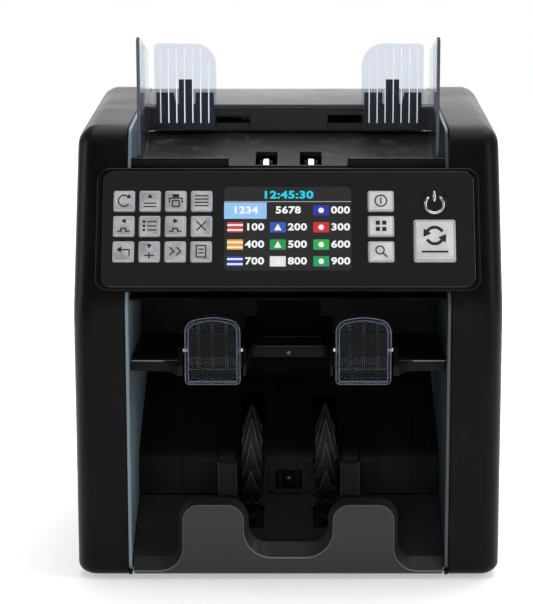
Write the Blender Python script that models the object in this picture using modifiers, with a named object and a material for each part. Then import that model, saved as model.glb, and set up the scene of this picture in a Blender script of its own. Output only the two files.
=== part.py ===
"""Two-pocket banknote counting machine.

Metres, +Z up, +X to the machine's right as a user faces it, and -Y towards the user. The origin is under the
middle of the machine, on the table. Every depth below is counted from the front face and turned into a Y by
at().
"""

import math

import bmesh
import bpy
from mathutils import Matrix, Vector

# ---- Driving dimensions ----------------------------------------------------------------------------------

WIDTH = 0.2936  # over both side covers
DEPTH = 0.262  # front face to rear face
BODY_TOP = 0.327  # height of the rear top edge
STOP_REACH = 0.008  # how far the note stops stand in front of the front face
FOOT_HEIGHT = 0.004
GAP = 0.0004  # between pieces that touch

POCKET_WIDTH = 0.217  # clear width between the two side plates
PLATE = 0.002  # side plate thickness
SHELL = 0.003  # moulded wall thickness
COVER_EDGE = 0.010  # large bevel round the outside of each side cover
KNEE_HEIGHT = 0.192  # where the front face starts to lean back
SHOULDER_HEIGHT = 0.309  # top of the leaning face
TILT = math.radians(24)  # lean of the control panel from vertical

PANEL_FOOT = 0.204  # height of the lower edge of the panel's front plane
HOOD_WIDTH = 0.262
HOOD_HEIGHT = 0.0873
HOOD_CORNER = 0.009
HOOD_FLANGE = 0.0047
HOOD_BODY_DEPTH = 0.016
FACE_WIDTH = 0.2544
FACE_HEIGHT = 0.0824
FACE_THICK = 0.0016
SCREEN_WIDTH = 0.0872
SCREEN_HEIGHT = 0.0597
SCREEN_CENTRE = (-0.0003, 0.0436)

KEY_SIZE = 0.0146
WIDE_KEY = 0.0178
RESTART_WIDTH = 0.0286
RESTART_HEIGHT = 0.0298
KEY_CLEARANCE = 0.0004  # round each key in the panel face
KEY_PROUD = 0.0018
KEY_TRAVEL = 0.0012  # used by the record's key joints
KEY_ROWS = (0.0624, 0.0446, 0.0267)
KEY_COLUMNS = (-0.1118, -0.0942, -0.0766, -0.0590)
WIDE_KEY_X = 0.0632
RESTART_CENTRE = (0.0996, 0.0343)
POWER_CENTRE = (0.0999, 0.0620)
POWER_RADIUS = 0.0064

HOPPER_REAR = 0.150  # depth of the backrest's front face
TABLE_REAR_HEIGHT = 0.2965  # feed table where it meets the backrest
TABLE_FALL = math.tan(math.radians(14))
BACKREST_TOP = 0.3172
ARM_SLOT_HEIGHT = 0.0046
ARM_SLOT_Z = 0.3066
ARM_SLOT_INNER = 0.029
ARM_SLOT_OUTER = 0.100

GUIDE_PLATE_X = 0.1045  # side guide, at the machine's widest note setting
GUIDE_TOP = 0.3715
GUIDE_THICK = 0.002
GUIDE_FRONT = 0.054
REST_INNER_X = 0.0535
REST_FOOT = 0.2985
REST_TOP = 0.3625

SHELF_TOP = 0.153
SHELF_THICK = 0.0075
SHELF_FRONT = 0.012
SHELF_REAR = 0.109
STOP_WIDTH = 0.038
STOP_X = 0.0510
STOP_HEIGHT = 0.047
STOP_FOOT = 0.140
STOP_PIVOT = (0.0005, 0.1627)  # depth, height
STOP_PIN_RADIUS = 0.0016

STACK_WALL = 0.071  # depth of the stacker's low wall
STACK_WALL_FOOT = 0.0418
STACK_WALL_TOP = 0.072
STACK_PLATE_REAR = (0.157, 0.113)
FLOOR_SLOPE = 0.44
FLOOR_FRONT = (0.006, 0.0131)
HUMP_TOP = 0.058
HUMP_X = 0.0520
HUMP_HALF = 0.0243
VALLEY_TOP = 0.0225  # middle valley of the front wall
SIDE_VALLEY_TOP = 0.0128
FRONT_WALL = 0.010

WHEEL_CENTRE = (0.082, 0.060)
WHEEL_RADIUS = 0.042
WHEEL_X = 0.0265
WHEEL_WIDTH = 0.0150
WHEEL_HUB = 0.016
BLADES = 12
BLADE_SWEEP = math.radians(74)
BLADE_THICK = 0.0016
SHAFT_RADIUS = 0.004

PICKUP_CENTRE = (0.092, 0.2705)
PICKUP_RADIUS = 0.0130
PICKUP_X = 0.0160
PICKUP_WIDTH = 0.0095
ROLLER_SLOT = (0.0080, 0.0236)
FEED_CENTRE = (0.066, 0.2475)
FEED_RADIUS = 0.0125
FEED_WIDTH = 0.012
FEED_PLACES = (-0.060, -0.020, 0.020, 0.060)
MOTOR_CENTRE = (0.196, 0.086)
MOTOR_RADIUS = 0.0175
MOTOR_LENGTH = 0.062

PULLEY_RADII = {"stacker": 0.020, "pickup": 0.010, "feed": 0.012, "motor": 0.008}
PULLEY_INNER_X = 0.1180
PULLEY_WIDTH = 0.009
BELT_WIDTH = 0.006
BELT_THICK = 0.0016
BELT_LIFT = 0.0004

DOOR_HALF = 0.1040
DOOR_FOOT = 0.0506
DOOR_TOP = 0.2360
DOOR_THICK = 0.003
LATCH_WIDTH = 0.034

HALF = WIDTH / 2
POCKET_HALF = POCKET_WIDTH / 2
PLATE_OUTER = POCKET_HALF + PLATE
COVER_INNER = PLATE_OUTER + GAP
INNER_HALF = POCKET_HALF - GAP

COLOURS = {
    "black_shell": ((0.012, 0.012, 0.013), 0.42, 0.0, 1.0),
    "black_inner": ((0.010, 0.010, 0.011), 0.5, 0.0, 1.0),
    "gloss_black": ((0.006, 0.006, 0.008), 0.12, 0.0, 1.0),
    "wall_grey": ((0.22, 0.29, 0.33), 0.4, 0.0, 1.0),
    "clear_plastic": ((0.62, 0.68, 0.80), 0.08, 0.0, 0.35),
    "key_silver": ((0.70, 0.70, 0.72), 0.35, 0.3, 1.0),
    "power_chrome": ((0.45, 0.46, 0.47), 0.2, 0.8, 1.0),
    "screen_glass": ((0.03, 0.03, 0.032), 0.1, 0.0, 1.0),
    "board_green": ((0.03, 0.16, 0.07), 0.5, 0.0, 1.0),
    "rubber": ((0.02, 0.02, 0.02), 0.8, 0.0, 1.0),
    "steel": ((0.55, 0.55, 0.56), 0.28, 1.0, 1.0),
    "wheel_black": ((0.016, 0.016, 0.017), 0.35, 0.0, 1.0),
    "lens": ((0.50, 0.52, 0.55), 0.1, 0.0, 1.0),
}


# ---- Scene and helpers -----------------------------------------------------------------------------------


def clear_scene():
    for obj in list(bpy.data.objects):
        bpy.data.objects.remove(obj)


clear_scene()
machine = bpy.data.collections.new("banknote_counter")
cutters = bpy.data.collections.new("cutters")
for group in (machine, cutters):
    bpy.context.scene.collection.children.link(group)
cutters.hide_render = True


def at(depth):
    """World Y of a depth counted from the front face."""
    return depth - (DEPTH - STOP_REACH) / 2


def paint(obj, name):
    colour, roughness, metallic, alpha = COLOURS[name]
    made = bpy.data.materials.get(name)
    if made is None:
        made = bpy.data.materials.new(name)
        made.use_nodes = True
        shader = made.node_tree.nodes["Principled BSDF"]
        shader.inputs["Base Color"].default_value = (*colour, 1)
        shader.inputs["Roughness"].default_value = roughness
        shader.inputs["Metallic"].default_value = metallic
        shader.inputs["Alpha"].default_value = alpha
    obj.data.materials.clear()
    obj.data.materials.append(made)
    return obj


def move_to(obj, collection):
    for old in list(obj.users_collection):
        old.objects.unlink(obj)
    collection.objects.link(obj)
    return obj


def settle(obj):
    """Applies the object's scale, so that bevels keep their width."""
    scale = Matrix.Diagonal((*obj.scale, 1))
    obj.data.transform(scale)
    obj.scale = (1, 1, 1)
    return obj


def bevel(obj, width, segments=2, angle=40):
    made = obj.modifiers.new("edges", "BEVEL")
    made.width = width
    made.segments = segments
    made.limit_method = "ANGLE"
    made.angle_limit = math.radians(angle)
    made.use_clamp_overlap = True
    return obj


def box(name, low, high, parent=None):
    """A block between two corners, in the parent's frame."""
    bpy.ops.mesh.primitive_cube_add(size=1)
    obj = bpy.context.object
    obj.name = name
    obj.parent = parent
    obj.location = (Vector(low) + Vector(high)) / 2
    obj.scale = Vector(high) - Vector(low)
    settle(obj)
    return move_to(obj, machine)


def rod(name, radius, x_low, x_high, depth, height, sides=24):
    """A cylinder along X."""
    bpy.ops.mesh.primitive_cylinder_add(vertices=sides, radius=radius, depth=x_high - x_low)
    obj = bpy.context.object
    obj.name = name
    obj.rotation_euler = (0, math.radians(90), 0)
    obj.location = ((x_low + x_high) / 2, at(depth), height)
    return move_to(obj, machine)


def rounded(corners, radii, steps=5):
    """The polygon through corners, each corner replaced by an arc of its radius."""
    points = []
    for i, (corner, radius) in enumerate(zip(corners, radii)):
        here = Vector(corner)
        back = (Vector(corners[i - 1]) - here).normalized()
        ahead = (Vector(corners[(i + 1) % len(corners)]) - here).normalized()
        half = back.angle(ahead) / 2
        if radius == 0:
            points.append(tuple(here))
            continue
        centre = here + (back + ahead).normalized() * (radius / math.sin(half))
        start = here + back * (radius / math.tan(half)) - centre
        sweep = math.pi - 2 * half
        turn = 1 if back.x * ahead.y - back.y * ahead.x < 0 else -1
        for step in range(steps + 1):
            angle = turn * sweep * step / steps
            spun = Matrix.Rotation(angle, 2) @ start
            points.append(tuple(centre + spun))
    return points


def rounded_rectangle(width, height, radius, centre=(0, 0), steps=5):
    x, y = width / 2, height / 2
    corners = [(-x, -y), (x, -y), (x, y), (-x, y)]
    moved = [(centre[0] + u, centre[1] + v) for u, v in corners]
    return rounded(moved, [radius] * 4, steps)


def inset(corners, distance):
    """A convex polygon's corners moved inwards by a distance."""
    moved = []
    for i, corner in enumerate(corners):
        here = Vector(corner)
        back = (Vector(corners[i - 1]) - here).normalized()
        ahead = (Vector(corners[(i + 1) % len(corners)]) - here).normalized()
        half = back.angle(ahead) / 2
        moved.append(tuple(here + (back + ahead).normalized() * (distance / math.sin(half))))
    return moved


def as_mesh(obj, flat_caps=False):
    """Replaces a curve or a modified object by its evaluated mesh, with loose caps welded."""
    bpy.context.view_layer.update()
    graph = bpy.context.evaluated_depsgraph_get()
    mesh = bpy.data.meshes.new_from_object(obj.evaluated_get(graph))
    cage = bmesh.new()
    cage.from_mesh(mesh)
    bmesh.ops.remove_doubles(cage, verts=cage.verts, dist=1e-6)
    if flat_caps:
        # The fill leaves needle triangles between points in line. Whole caps have none.
        bmesh.ops.dissolve_limit(cage, angle_limit=math.radians(0.2), verts=cage.verts, edges=cage.edges)
    bmesh.ops.recalc_face_normals(cage, faces=cage.faces)
    cage.to_mesh(mesh)
    cage.free()
    name, matrix, home = obj.name, obj.matrix_world.copy(), obj.users_collection[0]
    bpy.data.objects.remove(obj)
    made = bpy.data.objects.new(name, mesh)
    home.objects.link(made)
    made.matrix_world = matrix
    return made


def sheet(name, outline, low, high, frame=None, holes=()):
    """A flat outline, with holes, thickened from low to high along the frame's Z."""
    curve = bpy.data.curves.new(name, "CURVE")
    curve.dimensions = "2D"
    curve.fill_mode = "BOTH"
    curve.extrude = (high - low) / 2
    for loop in (outline, *holes):
        spline = curve.splines.new("POLY")
        spline.points.add(len(loop) - 1)
        for point, (u, v) in zip(spline.points, loop):
            point.co = (u, v, 0, 1)
        spline.use_cyclic_u = True
    obj = bpy.data.objects.new(name, curve)
    machine.objects.link(obj)
    place = (frame or Matrix.Identity(4)) @ Matrix.Translation((0, 0, (low + high) / 2))
    obj.matrix_world = place
    return as_mesh(obj, flat_caps=True)


# An outline drawn as (depth, height) is thickened along X; one drawn as (x, height) along depth.
SIDE_FRAME = Matrix(((0, 0, 1, 0), (1, 0, 0, at(0)), (0, 1, 0, 0), (0, 0, 0, 1)))
FRONT_FRAME = Matrix(((1, 0, 0, 0), (0, 0, -1, at(0)), (0, 1, 0, 0), (0, 0, 0, 1)))
# The control panel's own frame: X across, Y up the slope, Z out towards the user.
PANEL_FRAME = Matrix.Translation((0, at(0), PANEL_FOOT)) @ Matrix.Rotation(math.radians(90) - TILT, 4, "X")


def side_sheet(name, outline, x_low, x_high, holes=()):
    return sheet(name, outline, x_low, x_high, SIDE_FRAME, holes)


def front_sheet(name, outline, depth_low, depth_high, holes=()):
    return sheet(name, outline, -depth_high, -depth_low, FRONT_FRAME, holes)


def panel_sheet(name, outline, low, high, holes=()):
    return sheet(name, outline, low, high, PANEL_FRAME, holes)


def panel_box(name, low, high):
    obj = box(name, low, high)
    obj.matrix_world = PANEL_FRAME @ obj.matrix_basis
    return obj


def boolean(obj, other, operation):
    made = obj.modifiers.new(operation.lower(), "BOOLEAN")
    made.operation = operation
    made.solver = "EXACT"
    made.object = other
    move_to(other, cutters)
    other.hide_render = True
    other.display_type = "WIRE"
    return obj


def cut(obj, *others):
    for other in others:
        boolean(obj, other, "DIFFERENCE")
    return obj


def fuse(obj, *others):
    for other in others:
        boolean(obj, other, "UNION")
    return obj


def joined(name, objs):
    """Several separate solids as one object."""
    cage = bmesh.new()
    for obj in objs:
        start = len(cage.verts)
        cage.from_mesh(obj.data)
        cage.verts.ensure_lookup_table()
        bmesh.ops.transform(cage, matrix=obj.matrix_world, verts=cage.verts[start:])
    mesh = bpy.data.meshes.new(name)
    cage.to_mesh(mesh)
    cage.free()
    for obj in objs:
        bpy.data.objects.remove(obj)
    made = bpy.data.objects.new(name, mesh)
    machine.objects.link(made)
    return made


def pierce(obj, outlines, frame, low, high):
    """Cuts several separate outlines right through a piece."""
    tools = [sheet(f"{obj.name}_hole", outline, low, high, frame) for outline in outlines]
    bpy.context.view_layer.update()
    return cut(obj, joined(f"{obj.name}_holes", tools))


def bevel_face_rim(obj, local_z, width, segments):
    """Rounds the rim of a sheet's face that lies at local_z."""
    cage = bmesh.new()
    cage.from_mesh(obj.data)
    rim = [
        edge
        for edge in cage.edges
        if all(abs(v.co.z - local_z) < 1e-6 for v in edge.verts)
        and any(abs(f.normal.z) < 0.5 for f in edge.link_faces)
    ]
    bmesh.ops.bevel(cage, geom=rim, offset=width, segments=segments, profile=0.5, affect="EDGES")
    cage.to_mesh(obj.data)
    cage.free()
    return obj


def origin_to(obj, point):
    """Moves the object's origin to a world point, with its shape left in place."""
    shift = Matrix.Translation(Vector(point) - obj.matrix_world.translation)
    obj.data.transform((shift @ obj.matrix_world).inverted() @ obj.matrix_world)
    obj.matrix_world = shift @ obj.matrix_world
    return obj


# ---- Side covers and side plates -------------------------------------------------------------------------

SHOULDER_DEPTH = (SHOULDER_HEIGHT - KNEE_HEIGHT) * math.tan(TILT)
PROFILE = [(0, FOOT_HEIGHT), (DEPTH, FOOT_HEIGHT), (DEPTH, BODY_TOP), (SHOULDER_DEPTH, SHOULDER_HEIGHT),
           (0, KNEE_HEIGHT)]
PROFILE_RADII = [0.008, 0.008, 0.025, 0.009, 0.030]
HOOD_RECESS_HALF = 0.1262
HOOD_RECESS_LOW = 0.0035
HOOD_RECESS_HIGH = HOOD_HEIGHT - 0.0055
HOOD_RECESS_DEPTH = HOOD_BODY_DEPTH + 0.001


def hood_recess(name):
    """Room for the hood's body, behind its flange."""
    low = (-HOOD_RECESS_HALF, HOOD_RECESS_LOW, -HOOD_RECESS_DEPTH)
    return panel_box(name, low, (HOOD_RECESS_HALF, HOOD_RECESS_HIGH, 0.02))


def side_cover(name, side):
    x_low, x_high = COVER_INNER, HALF
    outer = side_sheet(name, rounded(PROFILE, PROFILE_RADII), x_low, x_high)
    bevel_face_rim(outer, (x_high - x_low) / 2, COVER_EDGE, 3)
    core_radii = [max(radius - SHELL, 0.002) for radius in PROFILE_RADII]
    core_low, core_high = x_low - 0.004, x_high - SHELL
    core = side_sheet(name + "_core", rounded(inset(PROFILE, SHELL), core_radii), core_low, core_high)
    bevel_face_rim(core, (core_high - core_low) / 2, COVER_EDGE - SHELL / 2, 2)
    cut(outer, core, hood_recess(name + "_recess"))
    made = as_mesh(outer)
    if side < 0:
        made.data.transform(made.matrix_world)
        made.matrix_world = Matrix.Identity(4)
        made.data.transform(Matrix.Diagonal((-1, 1, 1, 1)))
        made.data.flip_normals()
    return paint(made, "black_shell")


def circle(centre, radius, steps=16):
    turns = [2 * math.pi * (step + 0.5) / steps for step in range(steps)]
    return [(centre[0] + radius * math.cos(t), centre[1] + radius * math.sin(t)) for t in turns]


SHAFTS = (WHEEL_CENTRE, PICKUP_CENTRE, FEED_CENTRE)
DOOR_HINGE = (DEPTH - 0.0040, DOOR_FOOT + 0.006)
GATE_PIVOT = (0.1280, 0.1750)
HINGE_PIN = 0.0019
BEARING_REACH = POCKET_HALF + PLATE - 0.0004
RAIL_CENTRE = (0.1740, 0.2985)
RAIL_RADIUS = 0.003
PLATE_INSET = 0.0012


def side_plate(name, side):
    """The steel plate between a cover and the pockets. Shafts turn in its holes."""
    low, high = sorted((side * POCKET_HALF, side * PLATE_OUTER))
    corners = inset(PROFILE, PLATE_INSET)
    radii = [max(radius - PLATE_INSET, 0.002) for radius in PROFILE_RADII]
    holes = [circle(centre, SHAFT_RADIUS + GAP) for centre in SHAFTS]
    holes += [circle(centre, HINGE_PIN + GAP, 12) for centre in (DOOR_HINGE, GATE_PIVOT)]
    if side < 0:
        holes.append(circle(MOTOR_CENTRE, PULLEY_RADII["motor"] + 0.002))
    plate = side_sheet(name, rounded(corners, radii), low, high, holes)
    cut(plate, hood_recess(name + "_recess"))
    return paint(plate, "wall_grey")


for word, sign in (("left", -1), ("right", 1)):
    side_cover(f"{word}_side_cover", sign)
    side_plate(f"{word}_side_plate", sign)


# ---- Base pan, feet and rear -----------------------------------------------------------------------------

FOOT_X = 0.127
FOOT_DEPTHS = (0.032, 0.232)
FOOT_RADIUS = 0.009
BASE_THICK = 0.003
BASE_REAR_WALL = 0.0490
INLET_X = -0.060
INLET_Z = 0.028
INLET_WIDTH = 0.027
INLET_HEIGHT = 0.0195


def base_pan():
    """Bottom plate with a rear wall that holds the mains inlet."""
    front = FRONT_WALL + 0.062
    outline = [
        (front, FOOT_HEIGHT),
        (DEPTH - 0.0005, FOOT_HEIGHT),
        (DEPTH - 0.0005, BASE_REAR_WALL),
        (DEPTH - 0.0005 - BASE_THICK, BASE_REAR_WALL),
        (DEPTH - 0.0005 - BASE_THICK, FOOT_HEIGHT + BASE_THICK),
        (front, FOOT_HEIGHT + BASE_THICK),
    ]
    pan = side_sheet("base_pan", outline, -INNER_HALF, INNER_HALF)
    low = (INLET_X - INLET_WIDTH / 2 - GAP, at(DEPTH) - 0.02, INLET_Z - INLET_HEIGHT / 2 - GAP)
    high = (INLET_X + INLET_WIDTH / 2 + GAP, at(DEPTH) + 0.02, INLET_Z + INLET_HEIGHT / 2 + GAP)
    return paint(cut(pan, box("inlet_hole", low, high)), "black_inner")


def power_inlet():
    """Mains inlet: a well behind the rear wall, with its flange inside."""
    rear = at(DEPTH)
    half_w, half_h = INLET_WIDTH / 2, INLET_HEIGHT / 2
    low = (INLET_X - half_w, rear - 0.030, INLET_Z - half_h)
    body = box("power_inlet", low, (INLET_X + half_w, rear - 0.001, INLET_Z + half_h))
    inner = rear - 0.0005 - BASE_THICK - GAP
    flange_low = (INLET_X - half_w - 0.006, inner - 0.002, INLET_Z - half_h - 0.003)
    flange = box("inlet_flange", flange_low, (INLET_X + half_w + 0.006, inner, INLET_Z + half_h + 0.003))
    well_low = (INLET_X - half_w + 0.002, rear - 0.017, INLET_Z - half_h + 0.002)
    well = box("inlet_well", well_low, (INLET_X + half_w - 0.002, rear + 0.01, INLET_Z + half_h - 0.002))
    return paint(cut(fuse(body, flange), well), "black_inner")


def feet():
    """Four rubber feet, under the side covers."""
    for word, x in (("left", -FOOT_X), ("right", FOOT_X)):
        for place, depth in (("front", FOOT_DEPTHS[0]), ("rear", FOOT_DEPTHS[1])):
            bpy.ops.mesh.primitive_cylinder_add(vertices=20, radius=FOOT_RADIUS, depth=FOOT_HEIGHT - GAP)
            foot = move_to(bpy.context.object, machine)
            foot.name = f"{place}_{word}_foot"
            foot.location = (x, at(depth), (FOOT_HEIGHT - GAP) / 2)
            paint(foot, "rubber")


TOP_REAR_DROP = DOOR_TOP + 0.001


def top_height(depth):
    """Height of the body's top line at a depth."""
    slope = (BODY_TOP - SHOULDER_HEIGHT) / (DEPTH - SHOULDER_DEPTH)
    return SHOULDER_HEIGHT + slope * (depth - SHOULDER_DEPTH)


def top_cover():
    """The lid behind the hopper, with the note backrest at its front and a rear wall down to the door."""
    rear, top = DEPTH - PLATE_INSET, top_height(DEPTH) - PLATE_INSET
    crown = rounded(
        [(HOPPER_REAR, REST_FLOOR), (HOPPER_REAR, BACKREST_TOP), (rear, top), (rear, TOP_REAR_DROP),
         (rear - SHELL, TOP_REAR_DROP), (rear - SHELL, top - SHELL),
         (HOPPER_REAR + SHELL, BACKREST_TOP - SHELL),
         (HOPPER_REAR + SHELL, REST_FLOOR)],
        [0, 0.003, 0.024, 0, 0, 0.021, 0.001, 0],
    )
    cover = side_sheet("top_cover", crown, -INNER_HALF, INNER_HALF)
    slots = []
    for side in (-1, 1):
        low_x, high_x = sorted((side * ARM_SLOT_INNER, side * ARM_SLOT_OUTER))
        low = (low_x, at(HOPPER_REAR) - 0.01, ARM_SLOT_Z - ARM_SLOT_HEIGHT / 2)
        high = (high_x, at(HOPPER_REAR) + 0.01, ARM_SLOT_Z + ARM_SLOT_HEIGHT / 2)
        slots.append(box(f"arm_slot_{side}", low, high))
    bpy.context.view_layer.update()
    cut(cover, joined("arm_slots", slots))
    pad = front_sheet("backrest_pad", backrest_pad_outline(), HOPPER_REAR - 0.0012, HOPPER_REAR + 0.001)
    return paint(fuse(cover, pad), "black_shell")


def backrest_pad_outline():
    half = ARM_SLOT_INNER - 0.0005
    return [(-half, REST_FLOOR + 0.0005), (half, REST_FLOOR + 0.0005), (half, BACKREST_TOP - 0.004),
            (-half, BACKREST_TOP - 0.004)]


REST_FLOOR = TABLE_REAR_HEIGHT + 0.0008


def rear_door():
    """Door to the note path. It turns on two stub pins at its foot."""
    front, rear = DEPTH - 0.001 - DOOR_THICK, DEPTH - 0.001
    outline = rounded_rectangle(2 * DOOR_HALF, DOOR_TOP - DOOR_FOOT, 0.006, (0, (DOOR_TOP + DOOR_FOOT) / 2))
    latch_low = DOOR_TOP - 0.030
    latch_hole = rounded_rectangle(LATCH_WIDTH + 2 * GAP, 0.014, 0.0008, (0, latch_low + 0.007), 2)
    vents = [
        rounded_rectangle(0.060, 0.0035, 0.0016, (x, DOOR_FOOT + 0.050 + 0.010 * row), 2)
        for row in range(6)
        for x in (-0.050, 0.050)
    ]
    door = front_sheet("rear_door", outline, front, rear)
    pierce(door, [latch_hole, *vents], FRONT_FRAME, -rear - 0.01, -front + 0.01)
    ribs = [
        box(f"door_rib_{i}", (x - 0.0012, at(front - 0.012), DOOR_FOOT + 0.012),
            (x + 0.0012, at(front + 0.001), DOOR_TOP - 0.036))
        for i, x in enumerate((-0.092, 0.092))
    ]
    pins = [
        rod(f"door_pin_{side}", HINGE_PIN, *sorted((side * (DOOR_HALF - 0.004), side * BEARING_REACH)),
            *DOOR_HINGE, 12)
        for side in (-1, 1)
    ]
    fuse(door, *ribs)
    fuse(door, *pins)
    made = origin_to(as_mesh(door), (0, at(DOOR_HINGE[0]), DOOR_HINGE[1]))
    return paint(made, "black_shell")


def door_latch():
    """Sliding catch in the door: thumb pad outside, stem through the hole, catch plate inside."""
    low_z = DOOR_TOP - 0.030
    rear = at(DEPTH - 0.001)
    half = LATCH_WIDTH / 2
    pad = box("door_latch", (-half, rear - DOOR_THICK - 0.002, low_z + 0.0036),
              (half, rear - 0.0006, low_z + 0.0128))
    plate_low = (-half - 0.004, rear - DOOR_THICK - 0.0035, low_z + 0.001)
    plate = box("latch_plate", plate_low, (half + 0.004, rear - DOOR_THICK - GAP, low_z + 0.021))
    return paint(as_mesh(fuse(pad, plate)), "black_inner")


base_pan()
power_inlet()
feet()
top_cover()
rear_door()
door_latch()


# ---- Feed hopper -----------------------------------------------------------------------------------------


def table_height(depth):
    """Height of the feed table's top at a depth."""
    return TABLE_REAR_HEIGHT - (HOPPER_REAR - depth) * TABLE_FALL


LIP_FRONT = 0.0425
LIP_THICK = 0.0050
LIP_FOOT = 0.2795
LIP_HIGH = 0.2890
LIP_LOW = 0.2838
LIP_STEP_X = 0.041
TABLE_FRONT = 0.0540


def hopper_tray():
    """Sloping feed table with two slots for the pick-up rollers, and the lip at its front, lower in the
    middle."""
    rear = HOPPER_REAR + SHELL
    lip_rear = LIP_FRONT + LIP_THICK
    outline = rounded(
        [(LIP_FRONT, LIP_FOOT), (lip_rear - 0.001, LIP_FOOT),
         (TABLE_FRONT - 0.0028, table_height(TABLE_FRONT) - SHELL),
         (rear, table_height(rear) - SHELL), (rear, table_height(rear)),
         (TABLE_FRONT, table_height(TABLE_FRONT)),
         (lip_rear, LIP_HIGH), (LIP_FRONT, LIP_HIGH)],
        [0, 0, 0, 0, 0, 0.004, 0.001, 0.001],
        2,
    )
    tray = side_sheet("hopper_tray", outline, -INNER_HALF, INNER_HALF)
    slots = []
    for side in (-1, 1):
        low_x, high_x = sorted((side * ROLLER_SLOT[0], side * ROLLER_SLOT[1]))
        slots.append(box(f"roller_slot_{side}", (low_x, at(0.074), 0.25), (high_x, at(0.1095), 0.31)))
    slots.append(box("lip_step", (-LIP_STEP_X, at(0.03), LIP_LOW), (LIP_STEP_X, at(0.052), 0.30)))
    bpy.context.view_layer.update()
    return paint(cut(tray, joined("roller_slots", slots)), "black_shell")


GUIDE_REAR = 0.1440  # front face of the rear rests


def guide_outline():
    """Side guide in depth and height: its top falls towards the rear."""
    foot = table_height(GUIDE_FRONT) + 0.003
    rear = GUIDE_REAR - 0.004
    return rounded(
        [(GUIDE_FRONT, foot), (rear, table_height(rear) + 0.003), (rear, 0.3565), (GUIDE_FRONT, GUIDE_TOP)],
        [0.001, 0.002, 0.012, 0.003],
        4,
    )


def note_guide(name, side):
    """Clear L-shaped note guide: a side plate, a rear rest, and a low web that joins them."""
    x_outer = side * GUIDE_PLATE_X
    x_inner = x_outer - side * GUIDE_THICK
    plate = side_sheet(name, guide_outline(), min(x_outer, x_inner), max(x_outer, x_inner))
    rest_outer, rest_inner = x_outer - side * 0.0055, side * REST_INNER_X
    corners = [(rest_outer, REST_FOOT), (rest_inner, REST_FOOT), (rest_inner, REST_TOP),
               (rest_outer, REST_TOP)]
    radii = [0.003, 0.004, 0.016, 0.003]
    if side > 0:
        corners.reverse()
        radii.reverse()
    rest = front_sheet(name + "_rest", rounded(corners, radii, 4), GUIDE_REAR, GUIDE_REAR + GUIDE_THICK)
    web_low, web_high = sorted((x_outer, rest_outer - side * 0.004))
    web = box(name + "_web", (web_low, at(GUIDE_REAR - 0.005), table_height(GUIDE_REAR - 0.005) + 0.0045),
              (web_high, at(GUIDE_REAR + GUIDE_THICK - 0.0002), 0.3170))
    fuse(plate, rest, web)
    return paint(as_mesh(plate), "clear_plastic")


ARM_LOW, ARM_HIGH = -0.0840, -0.0700
RACK_MODULE = 0.0012
PINION_TEETH = 10
PINION_RADIUS = RACK_MODULE * PINION_TEETH / 2
PINION_HEIGHT = 0.3000
RACK_ROOT = PINION_HEIGHT + PINION_RADIUS + 1.15 * RACK_MODULE
RACK_TEETH = 11
RACK_DEPTH = (HOPPER_REAR + SHELL + 0.0050, HOPPER_REAR + SHELL + 0.0095)
RACK_BACK = 0.0022
PRESSURE = math.radians(20)
BACKLASH = 0.00022


def rack_teeth():
    """Outlines of the rack's teeth, points down, in x and height. Its pitch line touches the pinion's
    circle."""
    pitch = math.pi * RACK_MODULE
    line = PINION_HEIGHT + PINION_RADIUS
    quarter = pitch / 4 - BACKLASH / 2
    tip, root = line - 0.85 * RACK_MODULE, RACK_ROOT + 0.0004
    teeth = []
    for index in range(RACK_TEETH):
        middle = (index - RACK_TEETH + 2) * pitch
        low_half = quarter - (line - tip) * math.tan(PRESSURE)
        high_half = quarter + (root - line) * math.tan(PRESSURE)
        teeth.append([(middle - low_half, tip), (middle + low_half, tip), (middle + high_half, root),
                      (middle - high_half, root)])
    return teeth


def rack(name):
    """A bar with teeth on its underside, reaching from the left arm past the pinion."""
    end = math.pi * RACK_MODULE * 1.35
    bar = box(name, (ARM_LOW + 0.0005, at(RACK_DEPTH[0]), RACK_ROOT),
              (end, at(RACK_DEPTH[1]), RACK_ROOT + RACK_BACK))
    teeth = [front_sheet("tooth", tooth, RACK_DEPTH[0] + 0.0001,
                         RACK_DEPTH[1] - 0.0001) for tooth in rack_teeth()]
    bpy.context.view_layer.update()
    return as_mesh(fuse(bar, joined(name + "_teeth", teeth)))


BLOCK_DEPTH = (RAIL_CENTRE[0] - 0.0060, RAIL_CENTRE[0] + 0.0060)
FINGERS = ((0.0555, 0.0690, 0.3265), (0.0712, 0.0812, 0.3360), (0.0852, 0.0978, 0.3265))


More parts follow.
